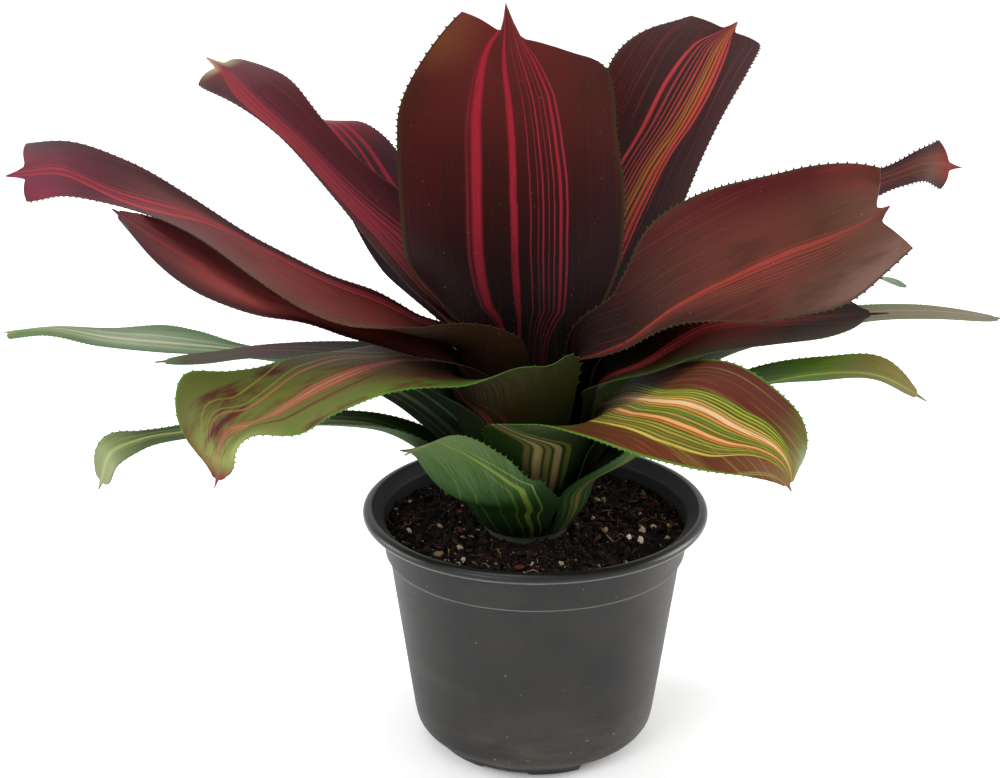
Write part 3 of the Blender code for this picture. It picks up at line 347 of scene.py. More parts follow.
# What each leaf looks like. Colours are sRGB hex, as they look in the studio's light, and places are shares
# of the length. ground, left and right run along the middle and the two margins, under along the other side,
# and margin colours the edge. path is (share, middle, half spread) of the group of stripes in half widths of
# the leaf, and stripes are (place across the group, half width, colour) in half spreads. show is the
# strength of the stripes along the leaf, seen_under how much of it shows below, and band the colour under
# the whole group. fine, blotch and scurf are (colour, strength): thin streaks, cloudy patches, and the
# silver bloom underneath.
HEART_LOOK = dict(ground=[(0, "3f6a30"), (.6, "3a4a24"), (1, "4a2420")])
HIDDEN_LOOK = dict(ground=[(0, "24481a"), (.5, "22301a"), (.8, "3a2018"), (1, "4a241c")],
                   fine=("6a3a2a", .3), under=[(0, "1c240e"), (1, "3a3a24")])
LOOKS = {
    # Painted shade: ground, left and right are painted near-black up to about .45 of the length, for the
    # shade in the cup.
    "leaf_back_tall": dict(
        path=[(0, 0, 1), (.75, 0, 1), (.85, .01, .92), (.93, .06, .81), (.97, .08, .7), (1, .05, .45)],
        ground=[(0, "100e06"), (.3, "0e0604"), (.45, "200a08"), (.55, "2e0e0c"), (.7, "401614"),
                (.85, "521f1c"), (1, "5f2420")],
        left=[(0, "100e06"), (.3, "100604"), (.45, "200a08"), (.6, "381010"), (.75, "441614"),
              (.88, "4c1e1a"), (.95, "6a3a24"), (1, "6a3828")],
        right=[(0, "100e06"), (.3, "120605"), (.45, "200a08"), (.6, "2c0e0c"), (.75, "421a16"),
               (1, "4a2420")],
        stripes=[(.33, .042, "9a2232"), (.405, .018, "6a2028"), (.02, .028, "9a2232"),
                 (-.13, .007, "7d2430"), (-.2, .005, "7a242e"), (-.245, .008, "94283a"),
                 (-.3, .006, "74242c"), (-.35, .007, "8c2836"), (-.41, .014, "9a2232"),
                 (-.47, .01, "94283a")],
        show=[(0, 0), (.25, .15), (.42, .55), (.55, .85), (.7, 1), (1, 1)], fine=("5c1c1e", .14),
        blotch=("1e1a10", .25), margin="3a2c18"),
    # Painted sheen: the greyish-pink tones of the right side from .82 of the length on are painted
    # reflection.
    "leaf_right_broad": dict(
        path=[(0, 0, 1), (.3, -.9, .6), (.4, -.72, .5), (.5, -.38, .45), (.6, -.22, .4), (.7, -.16, .4),
              (.8, -.13, .4), (.9, -.13, .35), (.96, -.1, .25), (1, 0, .12)],
        ground=[(0, "10140a"), (.25, "140906"), (.4, "22100b"), (.5, "40201a"), (.62, "562a22"),
                (.75, "5c2c24"), (.88, "4f2c20"), (1, "5c3c30")],
        left=[(0, "10140a"), (.3, "180a08"), (.45, "3a1614"), (.6, "4e1c1c"), (.75, "480f12"),
              (.88, "4c1618"), (.96, "6a2624"), (1, "5a2420")],
        right=[(0, "10140a"), (.4, "200e0a"), (.6, "381812"), (.72, "4a2018"), (.82, "5c3c30"),
               (.92, "70544a"), (1, "7a5a50")],
        stripes=[(.12, .09, "a83a34"), (-.05, .05, "96382c"), (-.2, .02, "8e3a30"), (-.3, .02, "8a3a30"),
                 (-.42, .02, "863a2e"), (-.55, .015, "80382c"), (-.7, .012, "7a362a"), (.3, .015, "8a3a30")],
        show=[(0, .1), (.3, .3), (.45, .7), (.8, .6), (1, .3)], fine=("6e342a", .3), blotch=("3a2418", .5),
        margin="3a3420"),
    "leaf_back_right": dict(
        path=[(0, .3, .6), (.55, .2, .4), (.65, .155, .38), (.7, .09, .4), (.75, 0, .47), (.8, -.05, .49),
              (.85, -.06, .47), (.9, -.05, .43), (.95, -.01, .37), (1, 0, .12)],
        ground=[(0, "1c2410"), (.4, "1e0e0a"), (.8, "280c07"), (1, "321009")],
        left=[(0, "1c2410"), (.4, "2c0c08"), (.8, "3c0c08"), (.92, "3a1614"), (1, "3a1c1a")],
        right=[(0, "1c2410"), (.4, "281416"), (.7, "301c1c"), (1, "341c20")],
        stripes=[(.82, .05, "a52c34"), (.62, .03, "8a2a2c"), (.48, .02, "8a2a2c"), (.36, .02, "8f3028"),
                 (.25, .03, "94342a"), (.12, .03, "8a3a24"), (0, .04, "8c4a22"), (-.12, .05, "96561f"),
                 (-.3, .06, "a04a24"), (-.5, .08, "a83a2c"), (-.72, .06, "9c3030")],
        show=[(0, .3), (.4, .9), (1, 1)], fine=("7a2a24", .35), margin="3a3020"),
    "leaf_left_high": dict(
        path=[(0, 0, 1), (.5, .02, .6), (.6, .22, .6), (.7, .38, .6), (.8, .5, .55), (.86, .5, .45),
              (.91, .38, .35), (.96, .15, .25), (1, .05, .15)],
        ground=[(0, "1c2410"), (.3, "24100e"), (.5, "46141a"), (.9, "48161c"), (.98, "642c30"),
                (1, "a8a07a")],
        left=[(0, "1c2410"), (.4, "2a1214"), (.6, "46181c"), (.8, "4a181e"), (.95, "3c1c22"),
              (1, "5a3c34")],
        right=[(0, "1c2410"), (.4, "2c1414"), (.7, "42161c"), (1, "4a2024")],
        stripes=[(.75, .08, "9c2434"), (.5, .1, "9c2434"), (.3, .06, "8e2434"), (.1, .1, "9c2434"),
                 (-.1, .05, "8e2438"), (-.3, .08, "982636"), (-.5, .04, "8a2434"), (-.7, .03, "822432")],
        show=[(0, .2), (.4, .75), (.9, .9), (1, .6)], fine=("82222e", .35), margin="5a3030"),
    "leaf_left_long": dict(
        path=[(0, -.8, .3), (.45, -.72, .2), (.55, -.68, .2), (.65, -.58, .2), (.7, -.3, .39),
              (.75, .1, .6), (.8, .42, .7), (.84, .5, .5), (.88, .36, .36), (.93, .07, .33), (.96, -.04, .3),
              (1, 0, .15)],
        ground=[(0, "1c2410"), (.3, "3a1410"), (.4, "561c14"), (.5, "62221c"), (.6, "6a302c"),
                (.75, "603634"), (.86, "4c2428"), (.93, "5a2430"), (1, "702c3c")],
        left=[(0, "20260f"), (.3, "443412"), (.45, "502a10"), (.55, "562c1c"), (.63, "5c3630"),
              (.75, "58383a"), (.9, "4c2430"), (.97, "7a2c40"), (1, "6a3440")],
        right=[(0, "1c2410"), (.4, "2c1816"), (.7, "301c1e"), (.85, "3c2426"), (.95, "3c2a30"),
               (1, "4a3438")],
        stripes=[(.4, .12, "a8303c"), (.1, .06, "8a2c34"), (-.2, .1, "a02c3c"), (-.5, .04, "8e2c36")],
        show=[(0, .3), (.5, .7), (.8, .85), (1, .7)], fine=("8a2c34", .35), margin="5a3a2a"),
    # Painted light: this leaf's middle and right side are painted lighter, against the shadow of
    # leaf_left_long above it.
    "leaf_left_mid": dict(
        ground=[(0, "1c2410"), (.3, "3a1a14"), (.45, "6a2c22"), (.6, "a04a44"), (.75, "8c403c"),
                (.88, "603030"), (1, "42242a")],
        left=[(0, "1c2410"), (.5, "2a1614"), (.8, "3a1c1c"), (1, "3a1a20")],
        right=[(0, "1c2410"), (.35, "5a2a20"), (.5, "a8504a"), (.7, "c0686a"), (.88, "8a4246"),
               (1, "4a242a")],
        stripes=[(.1, .04, "8a2c34"), (-.25, .05, "8a2c34"), (-.55, .03, "84282e")],
        show=[(0, .1), (.6, .5), (1, .5)], fine=("7c2a2c", .35), margin="4a2a24"),
    "leaf_back_left": dict(
        ground=[(0, "1c2410"), (.4, "2c1218"), (.85, "3a1a22"), (1, "7a2028")],
        stripes=[(.1, .06, "8e2034"), (-.15, .04, "8e2034"), (-.4, .06, "8e2034")],
        show=[(0, .2), (.6, .8), (1, .9)], fine=("6a1c28", .35), margin="3a2420"),
    "leaf_right_narrow": dict(
        ground=[(0, "1c2410"), (.5, "3a201c"), (.8, "45282a"), (.9, "4a302c"), (.96, "5a4030"),
                (1, "7a1c1c")],
        left=[(0, "1c2410"), (.6, "3c2222"), (1, "40262a")],
        right=[(0, "1c2410"), (.6, "3c2426"), (1, "442c2c")],
        stripes=[(.1, .06, "84382e"), (-.3, .05, "7c342c"), (.45, .04, "7a302c")],
        show=[(0, .2), (.7, .5), (1, .7)], fine=("70342c", .3), margin="4a3024"),
    "leaf_front_left": dict(
        path=[(0, .3, .4), (.2, .3, .35), (.27, .15, .3), (.31, -.2, .25), (.36, -.38, .22),
              (.45, -.33, .22), (.5, -.25, .3), (.55, -.2, .5), (.6, -.14, .66), (.7, -.04, .68),
              (.75, .03, .6), (.8, .1, .5), (.85, .05, .35), (.9, -.12, .3), (.96, -.15, .2), (1, 0, .1)],
        ground=[(0, "1c200e"), (.2, "2a1a10"), (.38, "30180f"), (.5, "54402a"), (.6, "5c5a30"),
                (.75, "5c6228"), (.9, "6c743a"), (.96, "8a9252"), (.985, "7a5a40"), (1, "7a2c34")],
        left=[(0, "24300f"), (.3, "344c1a"), (.45, "4c6428"), (.6, "5a6a2c"), (.8, "606c30"),
              (.93, "9ca468"), (.97, "8a8a54"), (1, "7a3438")],
        right=[(0, "1c200e"), (.4, "34201a"), (.52, "563c38"), (.65, "5c4c38"), (.8, "5e662c"),
               (.93, "5c5e2c"), (1, "7a2c34")],
        stripes=[(.25, .04, "8a463c"), (.12, .045, "b05c50"), (0, .04, "bc685a"), (-.1, .035, "a8564a"),
                 (-.25, .02, "7d4a30"), (-.75, .04, "a86450"), (-.95, .02, "8f8a44"), (-1.4, .03, "8f8a3a"),
                 (.6, .06, "5c3028")],
        show=[(0, .6), (.3, .9), (.85, .85), (1, .3)], fine=("7a7034", .3), blotch=("541c22", .95),
        margin="4f8a2c", under=[(0, "24240e"), (.35, "3a2c14"), (.6, "4a4a24"), (1, "5a6a3a")],
        seen_under=.6),
    "leaf_front_right": dict(
        path=[(0, .9, .3), (.25, .9, .3), (.3, .62, .4), (.375, .3, .57), (.46, .04, .53),
              (.54, -.16, .45), (.6, -.21, .44), (.7, -.22, .5), (.79, -.2, .53), (.84, -.13, .56),
              (.9, .1, .35), (.95, .25, .2), (.98, .3, .13), (1, .3, .12)],
        ground=[(0, "1c3014"), (.3, "2c3014"), (.5, "4a2a1a"), (.7, "5a2418"), (.85, "5a2a1c"),
                (1, "7a5a3a")],
        left=[(0, "1c3014"), (.35, "3a3418"), (.5, "4a281c"), (.7, "5a2a22"), (.84, "62362c"),
              (.93, "6a6a34"), (1, "8fa07a")],
        right=[(0, "1c3014"), (.25, "2f5a1c"), (.4, "3c4a18"), (.5, "4e2a14"), (.7, "5c2a14"),
               (1, "6a4028")],
        band=("4c4a12", .85),
        stripes=[(.96, .03, "6f8a2a"), (.84, .03, "9aa03a"), (.72, .03, "8a9030"), (.58, .03, "b0a045"),
                 (.46, .04, "c89a50"), (.31, .09, "e0b484"), (.19, .035, "c8803f"), (.09, .03, "8f8a34"),
                 (0, .03, "5a7a28"), (-.1, .03, "a0883a"), (-.19, .02, "5f6a24"), (-.3, .055, "e09a5c"),
                 (-.41, .03, "b86c34"), (-.52, .03, "7d8a30"), (-.62, .03, "9a8a34"), (-.72, .03, "6a6a26"),
                 (-.82, .03, "8a8030"), (-.95, .04, "c0a84a"), (-3.5, .1, "5f6a34"), (-3.9, .13, "9a8658"),
                 (-4.25, .1, "6f6a3c"), (-4.6, .14, "a08c5c"), (-4.95, .1, "6a6434")],
        show=[(0, .5), (.15, .9), (.9, 1), (1, .6)], fine=("a09a40", .3), blotch=("381818", .35),
        margin="4f8a24", under=[(0, "1c3014"), (.4, "2c3a18"), (1, "3f5a2a")], seen_under=.9),
    "leaf_right_mid": dict(
        path=[(0, -.45, .2), (.4, -.42, .2), (.5, -.2, .22), (.6, -.02, .25), (.7, .02, .25),
              (.8, -.15, .25), (1, 0, .1)],
        ground=[(0, "1c3014"), (.3, "1a200e"), (.5, "301c10"), (.6, "5c241c"), (.7, "5e221a"),
                (.8, "2a1610"), (1, "241810")],
        right=[(0, "1c3014"), (.4, "2c3a1c"), (.7, "302a18"), (1, "40301c")],
        stripes=[(.5, .09, "c04048"), (.3, .05, "a83a3a"), (.1, .1, "c8484a"), (-.1, .05, "a84038"),
                 (-.3, .07, "a83840"), (-.5, .04, "94362e")],
        show=[(0, .2), (.45, 1), (.68, .9), (.8, .25), (1, 0)], fine=("7a3430", .35), margin="46542a",
        under=[(0, "1c240e"), (.5, "3a4020"), (1, "46502a")]),
    "leaf_left_small": dict(
        ground=[(0, "2c4a1c"), (.4, "1e2c16"), (.6, "2c2418"), (.75, "3a1c18"), (.95, "3a3a24"),
                (1, "4a6a38")],
        stripes=[(.15, .05, "6a4a34"), (-.3, .04, "6a4a34")], show=[(0, .2), (1, .6)],
        fine=("5a3a28", .35), margin="46702c", under=[(0, "1c240e"), (1, "2c3a1c")]),
    "leaf_left_low": dict(
        ground=[(0, "24401c"), (.5, "47603e"), (.6, "66785a"), (.75, "848c74"), (.9, "767f60"),
                (.97, "4a6a2c"), (1, "7a7a50")],
        left=[(0, "24401c"), (.5, "3c5a34"), (.9, "566c44"), (1, "5a6a38")],
        right=[(0, "24401c"), (.5, "3c5a34"), (.9, "627450"), (1, "5a6a38")],
        stripes=[(0, .08, "b5b98c"), (.35, .04, "8fa878"), (-.4, .03, "9ab08a")],
        show=[(0, .5), (.8, .7), (1, .3)], fine=("8fae84", .3), margin="3a7030"),
    "leaf_front_left_low": dict(
        ground=[(0, "1c3416"), (.3, "2c4c20"), (.5, "445c28"), (.85, "44502a"), (.95, "7c8458"),
                (1, "7a805c")],
        stripes=[(0, .12, "a3ac6a"), (.25, .03, "8a9a50"), (-.45, .05, "6f8a44")],
        show=[(0, .7), (.8, .8), (1, .4)], fine=("7f9a54", .3), margin="35682c"),
    # Painted shade: ground and under are painted darkest near the base, for the shade under the leaves above
    # it.
    "leaf_front_curled": dict(
        path=[(0, .72, .3), (.1, .69, .3), (.17, .62, .3), (.21, .56, .3), (.26, .63, .3), (.32, .71, .3),
              (.42, .77, .28), (.5, .72, .27), (.6, .58, .25), (.7, .48, .25), (.8, .35, .22),
              (.87, .38, .2), (1, .8, .15)],
        ground=[(0, "0c1408"), (.15, "141e0c"), (.3, "1c2c10"), (.45, "324614"), (.6, "54621c"),
                (.8, "6e7038"), (.96, "767444"), (1, "8a7050")],
        stripes=[(0, .12, "8a9a3a"), (-.5, .06, "5a7024"), (.5, .04, "8a9a4c"), (-1.2, .05, "4a6020"),
                 (-2.2, .06, "55702a"), (-3.1, .05, "5a7a2c")],
        show=[(0, .3), (.3, .8), (.5, .9), (1, .4)], fine=("5f7a34", .35), margin="5a6a3a",
        under=[(0, "0e1c0a"), (.15, "1c3a14"), (.4, "2f5224"), (1, "5a7a4a")],
        seen_under=.9, scurf=("8fa58a", .25)),
    "leaf_right_low": dict(
        path=[(0, -.5, .4), (.6, -.8, .3), (.66, -.6, .3), (.7, -.3, .3), (.75, -.1, .25), (.8, -.08, .25),
              (.85, -.3, .25), (.9, -.5, .2), (1, 0, .1)],
        ground=[(0, "1c3412"), (.3, "1c3410"), (.6, "3a5c14"), (.75, "527418"), (.88, "6a6420"),
                (1, "7a6838")],
        stripes=[(0, .15, "c8b85a"), (-.35, .12, "8fa030"), (.25, .06, "6a8a2a"), (.7, .08, "7a9a34"),
                 (-.8, .1, "5f8a2a")],
        show=[(0, .6), (.6, .8), (1, .8)], fine=("7a9a30", .35), margin="2f7020"),
    "leaf_right_outer": dict(
        ground=[(0, "3f5a28"), (.4, "5e6446"), (.7, "74644e"), (1, "706450")],
        left=[(0, "3f5a28"), (.4, "5a7034"), (1, "5a6a38")],
        stripes=[(.1, .05, "9a9480"), (-.4, .05, "7a8a60")], show=[(0, .4), (1, .6)],
        fine=("9a9a80", .3), margin="5f8a3a"),
    "leaf_back_right_low": dict(
        ground=[(0, "7a5a4a"), (.25, "5f6a58"), (.6, "6f7a68"), (.93, "6a7a60"), (1, "4a6a3a")],
        left=[(0, "b0707a"), (.3, "96606a"), (.6, "6a6a58"), (1, "4a6a3a")],
        stripes=[(.2, .05, "8a907c")], show=[(0, .4), (1, .5)], fine=("8a9480", .3), margin="5a7040"),
    "leaf_back_low": dict(stripes=[(0, .1, "a3ac6a"), (.35, .04, "6f8a44")]),
    "leaf_back_right_mid": dict(HIDDEN_LOOK, stripes=[(.1, .05, "8a3434"), (-.3, .05, "84302e")]),
    "leaf_back_left_mid": dict(HIDDEN_LOOK, stripes=[(0, .05, "8a3434"), (-.35, .04, "84302e")]),
    "leaf_heart_left": HEART_LOOK,
    "leaf_heart_right": HEART_LOOK,
    "leaf_heart_back": HEART_LOOK,
}
PLAIN_LOOK = dict(path=[(0, 0, 1), (1, 0, 1)], ground=[(0, "35602a"), (.6, "3f6a30"), (1, "5a7a40")],
                  left=None, right=None, band=None, stripes=[(0, .08, "6a7a3a")], show=[(0, .6), (1, .6)],
                  fine=("6f8a44", .25), blotch=("26180e", .2), margin="3a5a28", under=None, seen_under=.45,
                  scurf=("9aa094", .3))

# How the backs of the red leaves and of the green ones run from the sheath to the tip.
UNDER_RED = [(0, "141008"), (.3, "2a0e08"), (.45, "361816"), (.6, "4a3038"), (1, "4a3038")]
UNDER_GREEN = [(0, "1c2c14"), (.2, "35502c"), (.45, "5f7558"), (1, "5f7558")]
RED_LEAVES = {"leaf_back_left", "leaf_back_right", "leaf_back_tall", "leaf_left_high", "leaf_left_long",
              "leaf_left_mid", "leaf_right_broad", "leaf_right_narrow"}

# Patterns on a leaf: (waves to the millimetre across it, the same along it, layer, detail, roughness).
LEAF_PATTERNS = {
    "clouds": (0.07, 0.028, 0, 4.0, 0.6),
    "streaks": (1.1, 0.012, 7, 3.0, 0.65),
    "bloom_lines": (1.6, 0.03, 9, 3.0, 0.7),
    "bloom_rows": (0.1, 0.25, 11, 2.0, 0.55),
    "specks": (0.9, 0.9, 13, 2.0, 0.5),
    "veins": (1.5, 0.01, 15, 2.0, 0.6),
}

# The gloss of each surface, and its relief: (height in metres, strength). The studio's light turns a leaf's
# colour into the one seen: LEAF_VEIL is the gloss over it, and LEAF_LIT the light's strength.
LEAF_GLOSS = 0.08
SOIL_GLOSS = 0.12
POT_GLOSS = 0.32
LEAF_RELIEF = (0.0002, 0.55)
POT_RELIEF = (0.00025, 0.4)
PEAT_RELIEF = (0.0012, 0.8)
BIT_RELIEF = (0.0005, 0.7)
STEM_RELIEF = (0.0006, 0.6)
LEAF_LIT = 1.3
LEAF_VEIL = 0.004

# How many stripes one colour ramp holds, and how a stripe fades: (half widths from its middle, strength).
STRIPES_TOGETHER = 7
STRIPE_FADE = [(-1.4, 0.0), (-0.6, 1.0), (0.6, 1.0), (1.4, 0.0)]
STRIPE_REACH = 1.5
NARROWEST_GROUP = 0.05

# A steady curve is worked out in EASE_STEPS steps, from EASE_BEYOND before the leaf's base to as far past
# its tip, and each of its bends is eased over EASE_OVER of them.
EASE_STEPS = 1201
EASE_BEYOND = 0.1
EASE_OVER = 61


def smooth_curve(knots, values, at):
    """Values at the places at, on a smooth curve through (knots, values)."""
    knots = np.asarray(knots, float)
    values = np.asarray(values, float).reshape(len(knots), -1)
    step = np.diff(knots)
    rise = np.diff(values, axis=0) / step[:, None]
    slope = np.empty_like(values)
    slope[0] = rise[0]
    slope[-1] = rise[-1]
    share = (step[:-1] / (step[:-1] + step[1:]))[:, None]
    slope[1:-1] = rise[:-1] * (1 - share) + rise[1:] * share
    at = np.clip(at, knots[0], knots[-1])
    i = np.clip(np.searchsorted(knots, at, side="right") - 1, 0, len(step) - 1)
    t = ((at - knots[i]) / step[i])[:, None]
    h = step[i][:, None]
    return ((2 * t**3 - 3 * t**2 + 1) * values[i] + (t**3 - 2 * t**2 + t) * h * slope[i]
            + (3 * t**2 - 2 * t**3) * values[i + 1] + (t**3 - t**2) * h * slope[i + 1])


def along(pairs, at):
    """One value for each place, from a leaf's list of (share of the length, value)."""
    knots, values = zip(*pairs)
    return smooth_curve(knots, values, at)[:, 0]


def unit(vectors):
    """The vectors with a length of 1."""
    return vectors / np.linalg.norm(vectors, axis=-1, keepdims=True)


def set_layers(leaves):
    """Gives each leaf its layer: one inside every lower leaf whose sheath it overlaps round the stem."""
    placed = []
    for leaf in leaves.values():
        left, right = leaf["wrap"]
        middle = leaf["turn"] + (left - right) / 2
        half = (left + right) / 2
        leaf["layer"] = 0
        for other_middle, other_half, other_layer in placed:
            apart = abs((middle - other_middle + 180) % 360 - 180)
            if apart < half + other_half + WRAP_MARGIN:
                leaf["layer"] = max(leaf["layer"], other_layer + 1)
        placed.append((middle, half, leaf["layer"]))


def base_height(layer):
    """Height at which the sheaths of a layer start on the stem."""
    return BASE_Z + BASE_STEP * layer


def funnel_radius(layer, z):
    """Radius of a layer's funnel round the stem at height z."""
    above = np.maximum(z - base_height(layer), 0)
    return BASE_R - BASE_SHRINK * layer + FLARE * above + BULGE * (1 - np.exp(-above / BULGE_H))


def midrib(leaf):
    """Points of the midrib from base to tip, the length run at each, and the share of it in the cup."""
    layer = leaf["layer"]
    foot = base_height(layer)
    climb = np.linspace(foot, leaf["leave"], max(2, round((leaf["leave"] - foot) / CLIMB_STEP) + 1))
    path = np.array([(funnel_radius(layer, z), z) for z in climb] + leaf["route"], float)
    chord = np.concatenate([[0], np.cumsum(np.linalg.norm(np.diff(path, axis=0), axis=1))])
    steps = np.linspace(0, chord[-1], MIDRIB_POINTS)
    fine = smooth_curve(chord, path, steps)
    run = np.concatenate([[0], np.cumsum(np.linalg.norm(np.diff(fine, axis=0), axis=1))])
    in_cup = float(np.interp(chord[len(climb) - 1], steps, run) / run[-1])
    turn = math.radians(leaf["turn"])
    points = np.stack([PLANT_X + fine[:, 0] * math.cos(turn), fine[:, 0] * math.sin(turn), fine[:, 1]], -1)
    return points, run, in_cup


def frames(leaf, at):
    """At each share of the length: the midrib's point, its direction, the leaf's side and upper normal. Then
    the share of the length that lies in the cup."""
    points, run, in_cup = midrib(leaf)
    place = at * run[-1]
    centre, ahead, behind = (np.stack([np.interp(np.clip(place + d, 0, run[-1]), run, points[:, i])
                                       for i in range(3)], -1) for d in (0, LOOK_AHEAD, -LOOK_AHEAD))
    forward = unit(ahead - behind)
    turn = math.radians(leaf["turn"])
    level = np.array([-math.sin(turn), math.cos(turn), 0])
    side = unit(level - (forward @ level)[:, None] * forward)
    normal = np.cross(forward, side)
    roll = np.radians(along(leaf["roll"], at))[:, None]
    tilted = side * np.cos(roll) + normal * np.sin(roll)
    normal = normal * np.cos(roll) - side * np.sin(roll)
    return centre, forward, tilted, normal, in_cup


def half_width(leaf, at):
    """Half the leaf's width at each share of the length, rounded off towards the tip."""
    past = np.clip((at - leaf["round"]) / (1 - leaf["round"]), 0, 1)
    taper = np.sqrt(1 - (1 - leaf["end"] ** 2) * past**2)
    return np.maximum(along(leaf["width"], at) * taper, LEAST_HALF_WIDTH)


def tip_reach(leaf, at, across):
    """How far each point goes forward and up beyond its row: notch, skew, round corners and spine."""
    out = np.abs(across)[None, :]
    late, last, bent = (np.clip((at - start) / (1 - start), 0, 1)[:, None]
                        for start in (NOTCH_FROM, SPINE_FROM, CURL_FROM))
    go = late**2 * (leaf["notch"] * out**1.5 + leaf["skew"] * across[None, :])
    go = go - late**4 * leaf["corner"] * np.clip((out - CORNER_FROM) / (1 - CORNER_FROM), 0, 1) ** 2
    go = go + last**2 * leaf["spine"] * np.clip(1 - out / SPINE_HALF, 0, 1) ** 1.6
    bend = bent * np.clip(1 - out / CURL_HALF, 0, 1)
    angle = math.radians(leaf["curl"]) * bend
    return go * np.cos(angle), go * np.sin(angle)


def sheet_of(leaf, at, across):
    """The blade's middle surface: rows of points from base to tip, each from right margin to left."""
    centre, forward, side, normal, in_cup = frames(leaf, at)
    width = half_width(leaf, at)
    from_axis = centre - np.array([PLANT_X, 0, 0])
    ring = np.hypot(from_axis[:, 0], from_axis[:, 1])
    free = np.clip((at - in_cup * OPENS_AT) / leaf["hold"], 0, 1)
    free = free * free * (3 - 2 * free)
    slack = free / np.maximum(1 - free, 1e-3) * SLACK
    left, right = (np.minimum(width * along(leaf[key], at), ring * math.radians(most) + slack)
                   for key, most in zip(("left", "right"), leaf["wrap"]))
    out = across[None, :] * np.where(across[None, :] > 0, left[:, None], right[:, None])
    bend = np.radians(along(leaf["cup"], at)) / width
    bend = np.where(np.abs(bend) < 1e-6, 1e-6, bend)[:, None]
    wide = np.sin(bend * out) / bend
    lift = (1 - np.cos(bend * out)) / bend
    go, climb = tip_reach(leaf, at, across)
    blade = (centre[:, None] + side[:, None] * wide[..., None] + normal[:, None] * (lift + climb)[..., None]
             + forward[:, None] * go[..., None])
    rises = np.where(across > 0, leaf["rises"][0], leaf["rises"][1])
    z = centre[:, 2:] + along(leaf["rise"], at)[:, None] * across**2 * rises
    turn = np.arctan2(from_axis[:, 1], from_axis[:, 0])[:, None] + out / ring[:, None]
    radius = funnel_radius(leaf["layer"], z) + (ring - funnel_radius(leaf["layer"], centre[:, 2]))[:, None]
    sheath = np.stack([PLANT_X + radius * np.cos(turn), radius * np.sin(turn), z], -1)
    share = free[:, None, None]
    return sheath * (1 - share) + blade * share


def linear(color):
    """A colour written as six hex digits, as the shader wants it."""
    parts = [int(color[i:i + 2], 16) / 255 for i in (0, 2, 4)]
    return (*(c / 12.92 if c <= 0.04045 else ((c + 0.055) / 1.055) ** 2.4 for c in parts), 1.0)


def leaf_color(color):
    """The leaf's own colour where the photograph shows this one: less gloss, over the light's strength."""
    return (*(max(part - LEAF_VEIL, 0.0) / LEAF_LIT for part in linear(color)[:3]), 1.0)


class Value:
    """A number on a socket; arithmetic on it adds Math nodes."""

    def __init__(self, finish, socket):
        self.finish = finish
        self.socket = socket

    def math(self, operation, *others, flip=False):
        values = [self, *others]
        if flip:
            values.reverse()
        node = self.finish.node("ShaderNodeMath", {"operation": operation}, dict(enumerate(values)))
        return Value(self.finish, node.outputs[0])

    def __add__(self, other):
        return self.math("ADD", other)

    def __mul__(self, other):
        return self.math("MULTIPLY", other)

    def __sub__(self, other):
        return self.math("SUBTRACT", other)

    def __rsub__(self, other):
        return self.math("SUBTRACT", other, flip=True)

    def __pow__(self, other):
        return self.math("POWER", other)

    __radd__ = __add__
    __rmul__ = __mul__

    def size(self):
        return self.math("ABSOLUTE")

    def least(self, other):
        """The smaller of the two."""
        return self.math("MINIMUM", other)

    def ramp(self, low, high):
        """0 below low, 1 above high, and smooth between; the other way round where low is above high."""
        start, end, out = (low, high, (0, 1)) if low < high else (high, low, (1, 0))
        node = self.finish.node("ShaderNodeMapRange", {"interpolation_type": "SMOOTHSTEP"},
                                {"Value": self, "From Min": start, "From Max": end,
                                 "To Min": out[0], "To Max": out[1]})
        return Value(self.finish, node.outputs[0])


